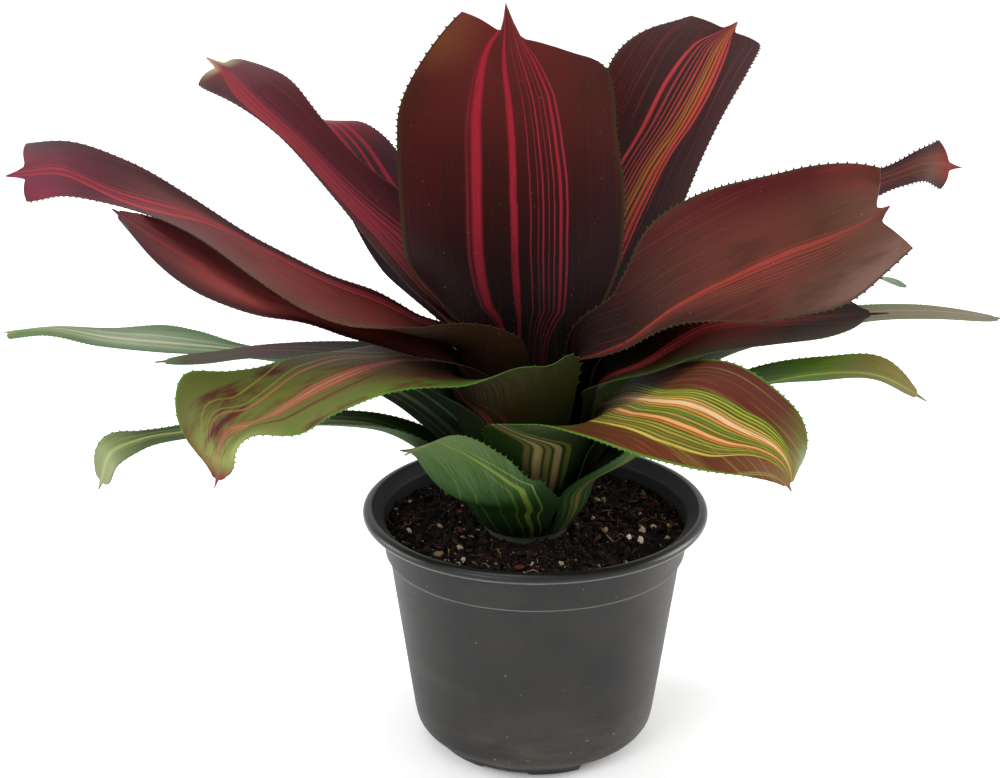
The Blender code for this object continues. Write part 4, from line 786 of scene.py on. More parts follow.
class Finish:
    """A material and its nodes."""

    def __init__(self, name):
        self.material = bpy.data.materials.new(name)
        self.material.use_nodes = True
        self.tree = self.material.node_tree
        self.shader = self.tree.nodes["Principled BSDF"]

    def node(self, kind, settings=None, sockets=None):
        """A node of that kind: its settings first, then the values or links of its sockets."""
        node = self.tree.nodes.new(kind)
        for key, setting in (settings or {}).items():
            if key == "stops":
                self.set_stops(node.color_ramp, setting)
            else:
                setattr(node, key, setting)
        for key, value in (sockets or {}).items():
            self.feed(node, key, value)
        return node

    def set_stops(self, ramp, stops):
        """Gives a colour ramp its stops of (position, colour)."""
        while len(ramp.elements) < len(stops):
            ramp.elements.new(1.0)
        for element, (position, color) in zip(ramp.elements, stops):
            element.position = position
            element.color = color

    def feed(self, node, key, value):
        """Sets or links one socket, found by its name, its identifier or its number."""
        found = [s for s in node.inputs if key in (s.identifier, s.name)]
        socket = node.inputs[key] if isinstance(key, int) else found[0]
        if isinstance(value, Value):
            value = value.socket
        if isinstance(value, bpy.types.NodeSocket):
            self.tree.links.new(value, socket)
        else:
            socket.default_value = value

    def attribute(self, name):
        """The mesh's vector attribute of that name, and its three numbers."""
        source = self.node("ShaderNodeAttribute", {"attribute_name": name})
        split = self.node("ShaderNodeSeparateXYZ", sockets={"Vector": source.outputs["Vector"]})
        return source.outputs["Vector"], *(Value(self, out) for out in split.outputs)

    def position(self):
        """The place in the plant's frame in metres, and its three numbers."""
        source = self.node("ShaderNodeTexCoord").outputs["Object"]
        split = self.node("ShaderNodeSeparateXYZ", sockets={"Vector": source})
        return source, *(Value(self, out) for out in split.outputs)

    def vector(self, x, y, z):
        return self.node("ShaderNodeCombineXYZ", sockets={"X": x, "Y": y, "Z": z}).outputs[0]

    def noise(self, vector, scale=1.0, detail=3.0, roughness=0.55):
        """Noise from 0 to 1 about a half."""
        node = self.node("ShaderNodeTexNoise", sockets={"Vector": vector, "Scale": scale, "Detail": detail,
                                                        "Roughness": roughness})
        return Value(self, node.outputs["Fac"])

    def drawn_out(self, x, y, z, detail=3.0, roughness=0.55):
        """Noise at a place whose numbers are scaled one by one, so that it runs long in one direction."""
        return self.noise(self.vector(x, y, z), 1.0, detail, roughness)

    def blend(self, factor, under, over, kind="MIX"):
        """The colour over laid on the colour under by a factor."""
        node = self.node("ShaderNodeMix", {"data_type": "RGBA", "blend_type": kind},
                         {"Factor_Float": factor, "A_Color": under, "B_Color": over})
        return next(out for out in node.outputs if out.identifier == "Result_Color")

    def shade(self, color, amount):
        """The colour made darker or lighter by a number about 1."""
        grey = self.node("ShaderNodeCombineColor", sockets={"Red": amount, "Green": amount, "Blue": amount})
        return self.blend(1.0, color, grey.outputs[0], "MULTIPLY")

    def run(self, place, stops):
        """A colour that runs through stops of (place, hex) along a number from 0 to 1."""
        stops = [(at, leaf_color(color)) for at, color in stops]
        node = self.node("ShaderNodeValToRGB", {"stops": stops}, {"Fac": place})
        return node.outputs["Color"]

    def level(self, place, stops):
        """A number that runs through stops of (place, number) along a number from 0 to 1."""
        stops = [(at, (value, value, value, 1.0)) for at, value in stops]
        node = self.node("ShaderNodeValToRGB", {"stops": stops}, {"Fac": place})
        return Value(self, node.outputs["Color"])

    def bump(self, height, distance, strength):
        """A normal for heights of that distance in metres."""
        node = self.node("ShaderNodeBump", sockets={"Height": height, "Distance": distance,
                                                    "Strength": strength})
        return node.outputs[0]

    def done(self, **sockets):
        """The material, with these sockets of its shader set or linked."""
        for key, value in sockets.items():
            self.feed(self.shader, key.replace("_", " "), value)
        return self.material


class Blade:
    """One closed, finely divided leaf: its points, its faces, and where on the leaf each of them lies."""

    def __init__(self, leaf):
        run = midrib(leaf)[1][-1]
        rows = 2 * round(run / TOOTH_PITCH) + 1
        self.share = np.linspace(0, 1, rows)
        self.across = np.linspace(-1, 1, ACROSS)
        self.run = run
        self.sheet = sheet_of(leaf, self.share, self.across)
        self.rows, self.cols = self.sheet.shape[:2]
        normal = unit(np.cross(np.gradient(self.sheet, axis=0), np.gradient(self.sheet, axis=1)))
        thick = MIDRIB_THICK + (MARGIN_THICK - MIDRIB_THICK) * self.across**2
        self.lift = normal * thick[None, :, None] / 2
        steps = np.linalg.norm(np.diff(self.sheet, axis=1), axis=2)
        wide = np.concatenate([np.zeros((self.rows, 1)), np.cumsum(steps, axis=1)], axis=1)
        self.wide = wide - wide[:, self.cols // 2:self.cols // 2 + 1]
        self.count = self.rows * self.cols
        self.points = [*(self.sheet + self.lift).reshape(-1, 3), *(self.sheet - self.lift).reshape(-1, 3)]
        grid = [(self.across[j], self.share[i], self.wide[i, j]) for i in range(self.rows)
                for j in range(self.cols)]
        self.place = grid + grid
        self.under = {k: k + self.count for k in range(self.count)}
        self.low = set(self.under.values())
        self.tips = set()

    def add_point(self, point, place):
        """Adds a point with its place on the leaf, and returns its number."""
        self.points.append(point)
        self.place.append(place)
        return len(self.points) - 1

    def tooth(self, i, margin, inner):
        """A tooth halfway between rows i and i + 1: the upper points of its two feet, and its tip."""
        start, end = self.sheet[i, margin], self.sheet[i + 1, margin]
        length = np.linalg.norm(end - start)
        outward = unit(start - self.sheet[i, inner] + end - self.sheet[i + 1, inner])
        half = min(TOOTH_HALF, TOOTH_MOST * length) / length
        side = self.across[margin]
        feet = []
        for part in (0.5 - half, 0.5 + half):
            on_edge = start * (1 - part) + end * part
            lift = self.lift[i, margin]
            share = self.share[i] * (1 - part) + self.share[i + 1] * part
            place = (side, share, self.wide[i, margin])
            feet.append(self.add_point(on_edge + lift, place))
            self.under[feet[-1]] = self.add_point(on_edge - lift, place)
            self.low.add(self.under[feet[-1]])
        share = (self.share[i] + self.share[i + 1]) / 2
        point = (start + end) / 2 + outward * TOOTH_HEIGHT + (end - start) / length * TOOTH_LEAN
        tip = self.add_point(point, (side * TOOTH_TIP_SIDE, share, self.wide[i, margin]))
        self.under[tip] = tip
        self.tips.add(tip)
        return feet[0], feet[1], tip

    def margin_faces(self, i, margin, inner):
        """The upper faces between rows i and i + 1 along one margin, with a tooth on every other row."""
        outer, outer_ahead = i * self.cols + margin, (i + 1) * self.cols + margin
        inside, inside_ahead = i * self.cols + inner, (i + 1) * self.cols + inner
        if i % 2 or self.share[i] < TOOTHLESS:
            faces = [(inside, inside_ahead, outer_ahead, outer)]
        else:
            near, far, tip = self.tooth(i, margin, inner)
            faces = [(inside, near, outer), (inside, far, near), (inside_ahead, outer_ahead, far),
                     (inside, inside_ahead, far), (near, far, tip)]
        return faces if margin > inner else [face[::-1] for face in faces]

    def faces(self):
        """The upper faces, the lower ones and the walls round the edge, as three lists."""
        upper = []
        for i in range(self.rows - 1):
            for j in range(1, self.cols - 2):
                here, ahead = i * self.cols + j, (i + 1) * self.cols + j
                upper.append((here, ahead, ahead + 1, here + 1))
            upper += self.margin_faces(i, 0, 1)
            upper += self.margin_faces(i, self.cols - 1, self.cols - 2)
        lower = [tuple(self.under[k] for k in face[::-1]) for face in upper]
        edges = {edge for face in upper for edge in zip(face, face[1:] + face[:1])}
        walls = []
        for a, b in sorted(edge for edge in edges if edge[::-1] not in edges):
            corners = [b, a, self.under[a], self.under[b]]
            walls.append(tuple(dict.fromkeys(corners)))
        return upper, lower, walls

    def on_sheet(self, k, part):
        """Where a corner of an upper face, a lower face or a wall goes on the flat layout of the finish."""
        side, share, _ = self.place[k]
        up = LAYOUT_FROM + LAYOUT_UP * share
        if part == "upper":
            return UPPER_MIDDLE + LAYOUT_HALF * side, up
        if part == "lower":
            return LOWER_MIDDLE - LAYOUT_HALF * side, up
        depth = 0 if k in self.tips else (1 if k in self.low else -1)
        if abs(side) > ON_MARGIN and share < BEFORE_TIP:
            return (LEFT_STRIP if side > 0 else RIGHT_STRIP) + STRIP_HALF * depth, up
        return UPPER_MIDDLE + LAYOUT_HALF * side, TIP_STRIP + TIP_STRIP_HALF * depth


def placed(points):
    """Points in millimetres from the pot's axis, in the frame's metres."""
    return (np.asarray(points, float) - [MIDDLE[0], MIDDLE[1], 0]) * MM


def add_piece(name, points, faces, finish, node, replaces=True):
    """A piece of the plant on the root body, in its finish. It stands for its node, or only rests on it."""
    mesh = bpy.data.meshes.new(name)
    mesh.from_pydata(placed(points), [], faces)
    mesh.shade_smooth()
    mesh.set_sharp_from_angle(angle=math.radians(SHARP_ABOVE))
    mesh.materials.append(finish)
    piece = bpy.data.objects.new(name, mesh)
    bpy.context.scene.collection.objects.link(piece)
    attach(piece, "root")
    if replaces:
        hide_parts(node)
    return piece


def give_vectors(mesh, name, rows):
    """Writes three numbers for each point of the mesh, for its finish to read."""
    layer = mesh.attributes.new(name, "FLOAT_VECTOR", "POINT")
    layer.data.foreach_set("vector", np.asarray(rows, np.float32).ravel())


def steady_curve(pairs, at):
    """Like along, but it never overshoots: straight runs between the pairs, with their bends eased."""
    knots, values = zip(*pairs)
    fine = np.linspace(-EASE_BEYOND, 1 + EASE_BEYOND, EASE_STEPS)
    line = np.interp(fine, knots, values)
    ease = np.hanning(EASE_OVER)
    line = np.convolve(np.pad(line, EASE_OVER // 2, mode="edge"), ease / ease.sum(), mode="valid")
    return np.interp(at, fine, line)


def band_places(look, shares, sides):
    """Each point's place across the leaf's group of stripes, which drifts and narrows along the leaf."""
    path = look["path"]
    middle = steady_curve([(share, at) for share, at, _ in path], shares)
    half = steady_curve([(share, spread) for share, _, spread in path], shares)
    return (sides - middle) / np.maximum(half, NARROWEST_GROUP)


def add_leaf(node, leaf, look):
    """One leaf in its finish, with what the finish reads and the flat layout that it is baked on."""
    blade = Blade(leaf)
    upper, lower, walls = blade.faces()
    piece = add_piece(node + "_blade", blade.points, upper + lower + walls, leaf_finish(node, look), node)
    mesh = piece.data
    side, share, wide = np.array(blade.place).T
    give_vectors(mesh, "place", np.stack([side, share, band_places(look, share, side)], -1))
    below = np.array([k in blade.low for k in range(len(blade.points))], float)
    give_vectors(mesh, "lie", np.stack([wide, share * blade.run, below], -1))
    parts = ((upper, "upper"), (lower, "lower"), (walls, "wall"))
    layout = [blade.on_sheet(k, part) for faces, part in parts for face in faces for k in face]
    mesh.uv_layers.new(name="OFBake").data.foreach_set("uv", np.array(layout, np.float32).ravel())


def add_leaves():
    """Every leaf, from the lowest to the heart."""
    leaves = {name: {**USUAL, **leaf} for name, leaf in LEAVES.items()}
    set_layers(leaves)
    for name, leaf in leaves.items():
        add_leaf(name, leaf, {**PLAIN_LOOK, **LOOKS[name]})


def stripe_stops(stripes, low, high):
    """Stops over low to high for a few stripes; between the stripes the alpha is 0."""
    stops = []
    reached = low
    for at, half, color in stripes:
        red, green, blue, _ = leaf_color(color)
        for edge, shown in STRIPE_FADE:
            reached = max(reached, at + edge * half)
            stops.append(((reached - low) / (high - low), (red, green, blue, shown)))
    return stops


def lay_stripes(finish, color, under, place, look, strength):
    """The leaf's stripes laid over both sides' colours. Returns the two colours."""
    stripes = sorted(look["stripes"])
    for start in range(0, len(stripes), STRIPES_TOGETHER):
        few = stripes[start:start + STRIPES_TOGETHER]
        low = min(at - STRIPE_REACH * half for at, half, _ in few)
        high = max(at + STRIPE_REACH * half for at, half, _ in few)
        inside = (place - low) * (1 / (high - low))
        node = finish.node("ShaderNodeValToRGB", {"stops": stripe_stops(few, low, high)}, {"Fac": inside})
        mask = Value(finish, node.outputs["Alpha"]) * strength
        color = finish.blend(mask, color, node.outputs["Color"])
        under = finish.blend(mask * look["seen_under"], under, node.outputs["Color"])
    return color, under


def leaf_ground(finish, side, share, look):
    """The colour under everything else, which runs along the leaf's middle and its two margins."""
    color = finish.run(share, look["ground"])
    if look["left"]:
        color = finish.blend(side.ramp(0.3, 0.95), color, finish.run(share, look["left"]))
    if look["right"]:
        color = finish.blend(side.ramp(-0.3, -0.95), color, finish.run(share, look["right"]))
    return color


def stripe_strength(finish, share, band, look, seed):
    """How strongly the stripes show: along the leaf as its look says, and a little patchy."""
    steady = finish.level(share, look["show"])
    patchy = finish.drawn_out(share * 9, band * 14, seed, 2.0).ramp(0.2, 0.5)
    return steady * (0.45 + patchy * 0.55)


def leaf_patterns(finish, wide, run, seed):
    """Each of LEAF_PATTERNS as a number over the leaf, by its name."""
    return {name: finish.drawn_out(wide * across, run * ahead, seed + layer, detail, roughness)
            for name, (across, ahead, layer, detail, roughness) in LEAF_PATTERNS.items()}


def silver_bloom(patterns, share, scurf):
    """The bloom under a leaf, in fine lines along it and fainter rows across, and none on the sheath."""
    rows = 0.5 + patterns["bloom_rows"] * 0.8
    bloom = patterns["bloom_lines"].ramp(0.35, 0.7) * rows * share.ramp(0.2, 0.5)
    return (bloom * scurf).least(1.0)


def leaf_finish(name, look):
    """A leaf: its ground colour, its stripes and thin streaks, patches and margin, the paler side below,
    painted shade towards its base, and the fine parallel veins. Lengths along and across the leaf are in
    millimetres."""
    finish = Finish(name + "_finish")
    _, side, share, band = finish.attribute("place")
    lie, wide, run, below = finish.attribute("lie")
    seed = sum(map(ord, name)) % 97
    patterns = leaf_patterns(finish, wide, run, seed)
    clouds, streaks, veins = patterns["clouds"], patterns["streaks"], patterns["veins"]

    color = leaf_ground(finish, side, share, look)
    under_stops = look["under"] or (UNDER_RED if name in RED_LEAVES else UNDER_GREEN)
    under = finish.blend(0.3, finish.run(share, under_stops), color)

    blotch_color, blotch = look["blotch"]
    color = finish.blend(clouds.ramp(0.5, 0.68) * blotch, color, leaf_color(blotch_color))
    if look["band"]:
        band_color, shown = look["band"]
        color = finish.blend(band.size().ramp(1.12, 0.95) * shown, color, leaf_color(band_color))

    wander = finish.drawn_out(share * 5, side * 1.2, seed + 3, 2.0)
    wobble = (wander - 0.5) * 0.05
    strength = stripe_strength(finish, share, band, look, seed + 5)
    color, under = lay_stripes(finish, color, under, band + wobble, look, strength)

    fine_color, fine = look["fine"]
    color = finish.blend(streaks.ramp(0.52, 0.68) * fine, color, leaf_color(fine_color))
    scurf_color, scurf = look["scurf"]
    under = finish.blend(silver_bloom(patterns, share, scurf), under, leaf_color(scurf_color))

    color = finish.blend(side.size().ramp(0.955, 0.99) * 0.75, color, leaf_color(look["margin"]))
    color = finish.blend(below, color, under)
    # Painted shade: the colour is darkened towards the leaf's base, to half at the stem, for the shade deep
    # in the rosette; the streaks vary its tone a little.
    color = finish.shade(color, (0.86 + streaks * 0.28) * (0.5 + share.ramp(0.05, 0.42) * 0.5))
    color = finish.blend(patterns["specks"].ramp(0.735, 0.78) * 0.4, color, linear("a39a86"))

    grain = finish.noise(lie, 1.6, 2.0, 0.5)
    height = veins + grain * 0.12 + clouds * 0.6
    sheath = share.ramp(0.5, 0.25)
    roughness = (0.38 + veins * 0.1 + clouds * 0.08 + below * 0.12 + sheath * 0.3).least(0.95)
    return finish.done(Base_Color=color, Roughness=roughness, Specular_IOR_Level=LEAF_GLOSS,
                       Normal=finish.bump(height, *LEAF_RELIEF))


def column_faces(here, ahead, count):
    """The faces between two open columns of count points each, which start at here and ahead."""
    return [(here + i, ahead + i, ahead + i + 1, here + i + 1) for i in range(count - 1)]


def ring_faces(near, far, count):
    """The faces between two closed rings of count points each, which start at near and far."""
    return [(near + k, far + k, far + (k + 1) % count, near + (k + 1) % count) for k in range(count)]


def turned(columns):
    """A closed body from profile columns [(radius, height), ...], each at its own turn: (degrees, profile).

    Every profile starts and ends on the axis, where the columns share one point.
    """
    size = len(columns[0][1]) - 2
    points = [(0, 0, columns[0][1][0][1]), (0, 0, columns[0][1][-1][1])]
    for turn, profile in columns:
        angle = math.radians(turn)
        points += [(r * math.cos(angle), r * math.sin(angle), z) for r, z in profile[1:-1]]
    faces = []
    for k in range(len(columns)):
        here, ahead = 2 + k * size, 2 + (k + 1) % len(columns) * size
        faces.append((0, ahead, here))
        faces += column_faces(here, ahead, size)
        faces.append((here + size - 1, ahead + size - 1, 1))
    return points, faces


def between(turn, span):
    """Whether a turn lies in a span of turns, both in degrees."""
    return (turn - span[0]) % 360 < (span[1] - span[0]) % 360


def foot_height(turn):
    """Height of the pot's lowest ring at this turn: under a foot, in the notch, or between two feet."""
    if between(turn, FOOT_NOTCH):
        return NOTCH_HEIGHT
    if any(between(turn, foot) for foot in FEET):
        return 0
    return POT_UNDER_Z - GAP_DROP


def rounded(profile, parts=None):
    """The profile with its corners rounded and its long runs divided into parts, and those parts."""
    line = np.array(profile, float)
    out = [line[0]]
    for before, corner, after in zip(line, line[1:], line[2:]):
        cut = min(CORNER_ROUND, *(CORNER_MOST * np.linalg.norm(corner - end) for end in (before, after)))
        start = corner + unit(before - corner) * cut
        end = corner + unit(after - corner) * cut
        for t in np.linspace(0, 1, CORNER_POINTS):
            out.append(start * (1 - t) ** 2 + 2 * corner * t * (1 - t) + end * t**2)
    out.append(line[-1])
    if parts is None:
        parts = [max(1, round(np.linalg.norm(b - a) / LONGEST_RISE)) for a, b in zip(out, out[1:])]
    fine = [out[0]]
    for start, end, count in zip(out, out[1:], parts):
        fine += [start + (end - start) * k / count for k in range(1, count + 1)]
    return fine, parts


def pot_corners(foot_z):
    """The corners of the pot's section where its lowest ring is at that height, with the collar's bead."""
    (low_r, low_z), (high_r, high_z) = POT_OUTER[:2]
    outer_r = low_r + (high_r - low_r) * foot_z / (high_z - low_z)
    foot = [(FOOT_INNER_R - FOOT_INNER_SLOPE, POT_UNDER_Z), (FOOT_INNER_R, foot_z), (outer_r, foot_z)]
    collar_r = POT_OUTER[6][0]
    bead = [(collar_r + 0.6 * BEAD_OUT, BEAD_Z + BEAD_HALF), (collar_r + BEAD_OUT, BEAD_Z + 2 * BEAD_HALF)]
    outer = POT_OUTER[1:7] + bead + POT_OUTER[7:]
    return [(0, POT_UNDER_Z)] + foot + outer + POT_INNER + [(0, POT_INNER[-1][1])]


def pot_profile(turn):
    """The pot's rounded section at a turn, divided alike at every turn."""
    _, parts = rounded(pot_corners(0))
    return rounded(pot_corners(foot_height(turn)), parts)[0]


def pot_turns():
    """The turns of the pot's columns, with a close pair at each edge of a foot or of the notch."""
    steps = [360 * k / POT_STEPS for k in range(POT_STEPS)]
    edges = [edge for span in FEET + [FOOT_NOTCH] for edge in span]
    steps = [s for s in steps if all(abs((s - e + 180) % 360 - 180) > CLEAR_OF_EDGE for e in edges)]
    return sorted(steps + [(e + side * STEP_TURN / 2) % 360 for e in edges for side in (-1, 1)])


def pressed(points):
    """The small unevenness of a moulding: the wall bows a little, and the collar has one slanting dent."""
    points = np.array(points, float)
    height = points[:, 2]
    turn = np.degrees(np.arctan2(points[:, 1], points[:, 0]))
    reach = np.hypot(points[:, 0], points[:, 1])
    outside = reach > np.interp(height, *zip(*OUTSIDE))
    bow = sum(depth * np.sin(np.radians(waves * turn + start)) for waves, depth, start in BOWS)
    away = (turn - DENT_TURN + 180) % 360 - 180
    slant = away - (height - DENT_Z) * DENT_SLANT
    dent = DENT_DEPTH * np.exp(-(slant / DENT_HALF_TURN) ** 2)
    dent = dent * np.exp(-((height - DENT_Z) / DENT_HALF_HEIGHT) ** 4)
    grown = np.clip((height - BOW_FROM_Z) / (BOW_FULL_Z - BOW_FROM_Z), 0, 1)
    shift = bow * grown - dent * outside
    points[:, :2] *= (1 + shift / np.maximum(reach, CALM_R))[:, None]
    return points


def add_pot():
    """The pot as one closed moulding."""
    points, faces = turned([(turn, pot_profile(turn)) for turn in pot_turns()])
    add_piece("nursery_pot", pressed(points), faces, pot_finish(), "pot")


def pot_finish():
    """Recycled black plastic with dust, earthy smears and fine scratches, and with painted light and shade:
    painted highlights along the lip's lower edge and the collar's step, a painted sheen on the right side,
    and painted shade on the lip and inside.

    Heights and the radius from the pot's axis are in millimetres.
    """
    finish = Finish("pot_plastic")
    where, x, y, z = finish.position()
    height = z * 1000
    across, depth = x + MIDDLE[0] * MM, y + MIDDLE[1] * MM
    radius = (across * across + depth * depth) ** 0.5 * 1000
    cloud = finish.noise(where, 22.0, 4.0, 0.6)
    fine = finish.noise(where, 420.0, 3.0, 0.6)
    dust = finish.noise(where, 520.0, 1.0, 0.5)
    smear = finish.drawn_out(x * 14, y * 14, z * 45, 4.0, 0.65)
    right_sheen = finish.drawn_out(x * 9, y * 9, z * 22, 3.0, 0.6)
    scratch = finish.drawn_out(x * 60, y * 60, z * 900, 2.0, 0.7)

    color = finish.blend(cloud.ramp(0.3, 0.75), linear("141413"), linear("242220"))
    color = finish.blend(smear.ramp(0.5, 0.74) * 0.4, color, linear("393632"))
    low = height.ramp(38, 6)
    color = finish.blend(low * smear.ramp(0.4, 0.65) * 0.5, color, linear("554a40"))
    # Painted highlight: beyond 30 mm right of the pot's axis the plastic is painted lighter in patches.
    right = (across * 1000).ramp(30, 64)
    color = finish.blend(right * right_sheen.ramp(0.2, 0.6) * 0.5, color, linear("4c443e"))
    color = finish.blend(dust.ramp(0.79, 0.81) * 0.6, color, linear("8a8276"))
    # Painted shade: the lip is painted near-black, darker than the body below it; the same mask also makes
    # it glossier.
    lip_shade_and_gloss = height.ramp(105.6, 106.4)
    color = finish.blend(lip_shade_and_gloss * 0.8, color, linear("0c0c0c"))

    # Painted shade: the wall inside and the lip's bevel are painted near-black, darker than the plastic
    # outside, and made rougher.
    upright = radius - height * WALL_LEAN
    wall = upright.ramp(55.1, 54.7) * height.ramp(91, 92)
    bevel = upright.ramp(59.2, 58.7) * height.ramp(107, 107.3)
    inner = (wall + bevel).least(1)
    color = finish.blend(inner, color, linear("060606"))

    # Painted highlight: thin light lines are painted along the lip's lower edge and the collar's step.
    lip_highlight = height.ramp(106.9, 107.3) * height.ramp(108.2, 107.7)
    step_highlight = height.ramp(89.9, 90.3) * height.ramp(91.1, 90.6)
    edge_highlight = ((lip_highlight + step_highlight) * (0.3 + fine * 0.6)).least(1)
    color = finish.blend(edge_highlight * (1 - inner), color, linear("6c6b69"))

    color = finish.shade(color, 0.92 + fine * 0.16)
    roughness = 0.4 + cloud * 0.12 + smear * 0.1 - lip_shade_and_gloss * 0.2 + inner * 0.4
    bumps = fine * 0.4 + scratch * 0.35 + cloud * 0.9
    return finish.done(Base_Color=color, Roughness=roughness, Specular_IOR_Level=POT_GLOSS,
                       Normal=finish.bump(bumps, *POT_RELIEF))


def soil_radius(z):
    """The widest the soil goes at height z, a gap inside the pot's inner wall."""
    inner = sorted((height, radius) for radius, height in POT_INNER)
    return float(np.interp(z, [h for h, _ in inner], [r for _, r in inner])) - SOIL_GAP


def swell(x, y, sort):
    """One sort of the peat's unevenness at a place, up and down from 0."""
    waves, layer, height = sort
    return noise.noise(Vector((x * waves, y * waves, layer))) * height


def soil_height(x, y):
    """The peat's top in millimetres, with its lumps, clods and grains."""
    crumbs = abs(swell(x, y, CLODS)) + abs(swell(x, y, GRAINS))
    return SOIL_TOP + swell(x, y, LUMPS) + crumbs * CRUMB_HEIGHT - PEAT_SINK


def add_soil():
    """The body of peat, in columns that go up the pot's wall, across the top and down the stem's hole."""
    bends = sorted(z for _, z in POT_INNER if SOIL_BOTTOM < z < SOIL_TOP)
    points = []
    size = 0
    for k in range(SOIL_STEPS):
        angle = 2 * math.pi * k / SOIL_STEPS
        wall = [(soil_radius(z), z) for z in [SOIL_BOTTOM] + bends + [SOIL_TOP - SOIL_EDGE_DEPTH]]
        column = [(r * math.cos(angle), r * math.sin(angle), z) for r, z in wall]
        edge = np.array([soil_radius(SOIL_TOP) * math.cos(angle), soil_radius(SOIL_TOP) * math.sin(angle)])
        rim = np.array([PLANT_X + HOLE_R * math.cos(angle), HOLE_R * math.sin(angle)])
        for part in np.linspace(0, 1, SOIL_RINGS):
            x, y = edge * (1 - part) + rim * part
            column.append((x, y, soil_height(x, y)))
        column.append((rim[0], rim[1], STEM_HOLE_FLOOR))
        points += column
        size = len(column)
    faces = []
    for k in range(SOIL_STEPS):
        faces += column_faces(k * size, (k + 1) % SOIL_STEPS * size, size)
    faces.append([(SOIL_STEPS - 1 - k) * size for k in range(SOIL_STEPS)])
    faces.append([k * size + size - 1 for k in range(SOIL_STEPS)])
    add_piece("peat", points, faces, peat_finish(), "soil")


def on_soil(draw):
    """A place on the open soil, clear of the sheaths and the pot's wall."""
    while True:
        reach = OPEN_SOIL_R * math.sqrt(draw.uniform(OPEN_SOIL_FROM, 1))
        turn = draw.uniform(0, 2 * math.pi)
        x, y = reach * math.cos(turn), reach * math.sin(turn)
        if math.hypot(x - PLANT_X, y) > CLEAR_OF_SHEATHS:
            return x, y, soil_height(x, y)


def ball():
    """The points and faces of a small round body, to be knocked out of shape."""
    rings, steps = BIT_RINGS, BIT_STEPS
    points = [(0, 0, 1)]
    for i in range(1, rings):
        tilt = math.pi * i / rings
        for k in range(steps):
            turn = 2 * math.pi * k / steps
            points.append((math.sin(tilt) * math.cos(turn), math.sin(tilt) * math.sin(turn), math.cos(tilt)))
    points.append((0, 0, -1))
    faces = [(0, 1 + k, 1 + (k + 1) % steps) for k in range(steps)]
    for i in range(rings - 2):
        faces += ring_faces(1 + i * steps, 1 + (i + 1) * steps, steps)
    last = 1 + (rings - 2) * steps
    faces += [(last + (k + 1) % steps, last + k, len(points) - 1) for k in range(steps)]
    return np.array(points), faces


def spin(draw):
    """A random turn as a 3 x 3 matrix."""
    axes, _ = np.linalg.qr(draw.normal(size=(3, 3)))
    return axes * np.sign(np.linalg.det(axes))


def add_bits(name, sizes, flat, rough, lift, finish, seed):
    """One sort of bit scattered over the soil, three in ten of them from the smaller half of the sizes.

    sizes are (least, most) across, and flat the range of its width and of its thickness as shares of its
    length. rough is how far it is knocked out of round, and lift how far its middle stands above the soil,
    as a share of its size.
    """
    draw = np.random.default_rng(seed)
    shape, shape_faces = ball()
    points, faces, bits = [], [], []
    for _ in range(BITS[name]):
        size = draw.uniform(*sizes) if draw.uniform() < ANY_SIZE else draw.uniform(sizes[0], sum(sizes) / 2)
        lumps = 1 + draw.normal(0, rough, len(shape))
        lump = shape * lumps[:, None] * np.array([1, draw.uniform(*flat[0]), draw.uniform(*flat[1])])
        lie = spin(draw) if flat[1][1] > LIES_BELOW else lying(draw)
        lump = lump @ lie.T * size / 2
        x, y, z = on_soil(draw)
        start = len(points)
        points += list(lump + [x, y, z + size * lift])
        faces += [tuple(start + k for k in face) for face in shape_faces]
        bits += [(draw.uniform(), draw.uniform(), draw.uniform())] * len(shape)
    piece = add_piece("soil_" + name, points, faces, finish, "soil", replaces=False)
    give_vectors(piece.data, "bit", bits)


def lying(draw):
    """A turn that leaves a flat bit nearly level."""
    turn, tilt = draw.uniform(0, 2 * math.pi), draw.normal(0, LYING_TILT)
    level = np.array([[math.cos(turn), -math.sin(turn), 0], [math.sin(turn), math.cos(turn), 0], [0, 0, 1]])
    lean = np.array([[1, 0, 0], [0, math.cos(tilt), -math.sin(tilt)], [0, math.sin(tilt), math.cos(tilt)]])
    return level @ lean


def add_fibres():
    """Thin roots and coir strands that lie on the peat."""
    draw = np.random.default_rng(41)
    sides = range(FIBRE_SIDES)
    points, faces, bits = [], [], []
    for _ in range(BITS["fibres"]):
        x, y, _ = on_soil(draw)
        heading, bend = draw.uniform(0, 2 * math.pi), draw.normal(0, FIBRE_BEND)
        thick, length = draw.uniform(*FIBRE_RADII), draw.uniform(*FIBRE_LENGTHS)
        tone = (draw.uniform(), draw.uniform(), draw.uniform())
        start = len(points)
        for i in range(FIBRE_STEPS):
            share = i / (FIBRE_STEPS - 1)
            heading += bend
            x += math.cos(heading) * length / FIBRE_STEPS
            y += math.sin(heading) * length / FIBRE_STEPS
            if math.hypot(x, y) > FIBRE_R or math.hypot(x - PLANT_X, y) < CLEAR_OF_SHEATHS - 1:
                heading += FIBRE_TURNS_BACK
            top = soil_height(x, y) + thick + FIBRE_HUMP * math.sin(math.pi * share)
            across = np.array([-math.sin(heading), math.cos(heading), 0])
            width = thick * (1 - FIBRE_THINS * abs(2 * share - 1))
            for turn in np.linspace(0, 2 * math.pi, FIBRE_SIDES, endpoint=False):
                out = across * math.cos(turn) + np.array([0, 0, 1]) * math.sin(turn)
                points.append(np.array([x, y, top]) + out * width)
        for i in range(FIBRE_STEPS - 1):
            ring = start + i * FIBRE_SIDES
            faces += ring_faces(ring, ring + FIBRE_SIDES, FIBRE_SIDES)
        end = start + (FIBRE_STEPS - 1) * FIBRE_SIDES
        faces += [tuple(start + k for k in sides), tuple(end + k for k in reversed(sides))]
        bits += [tone] * (FIBRE_STEPS * FIBRE_SIDES)
    finish = bit_finish("fibre", "6a4a2c", "3a2416", "a08258")
    piece = add_piece("soil_fibres", points, faces, finish, "soil", replaces=False)
    give_vectors(piece.data, "bit", bits)


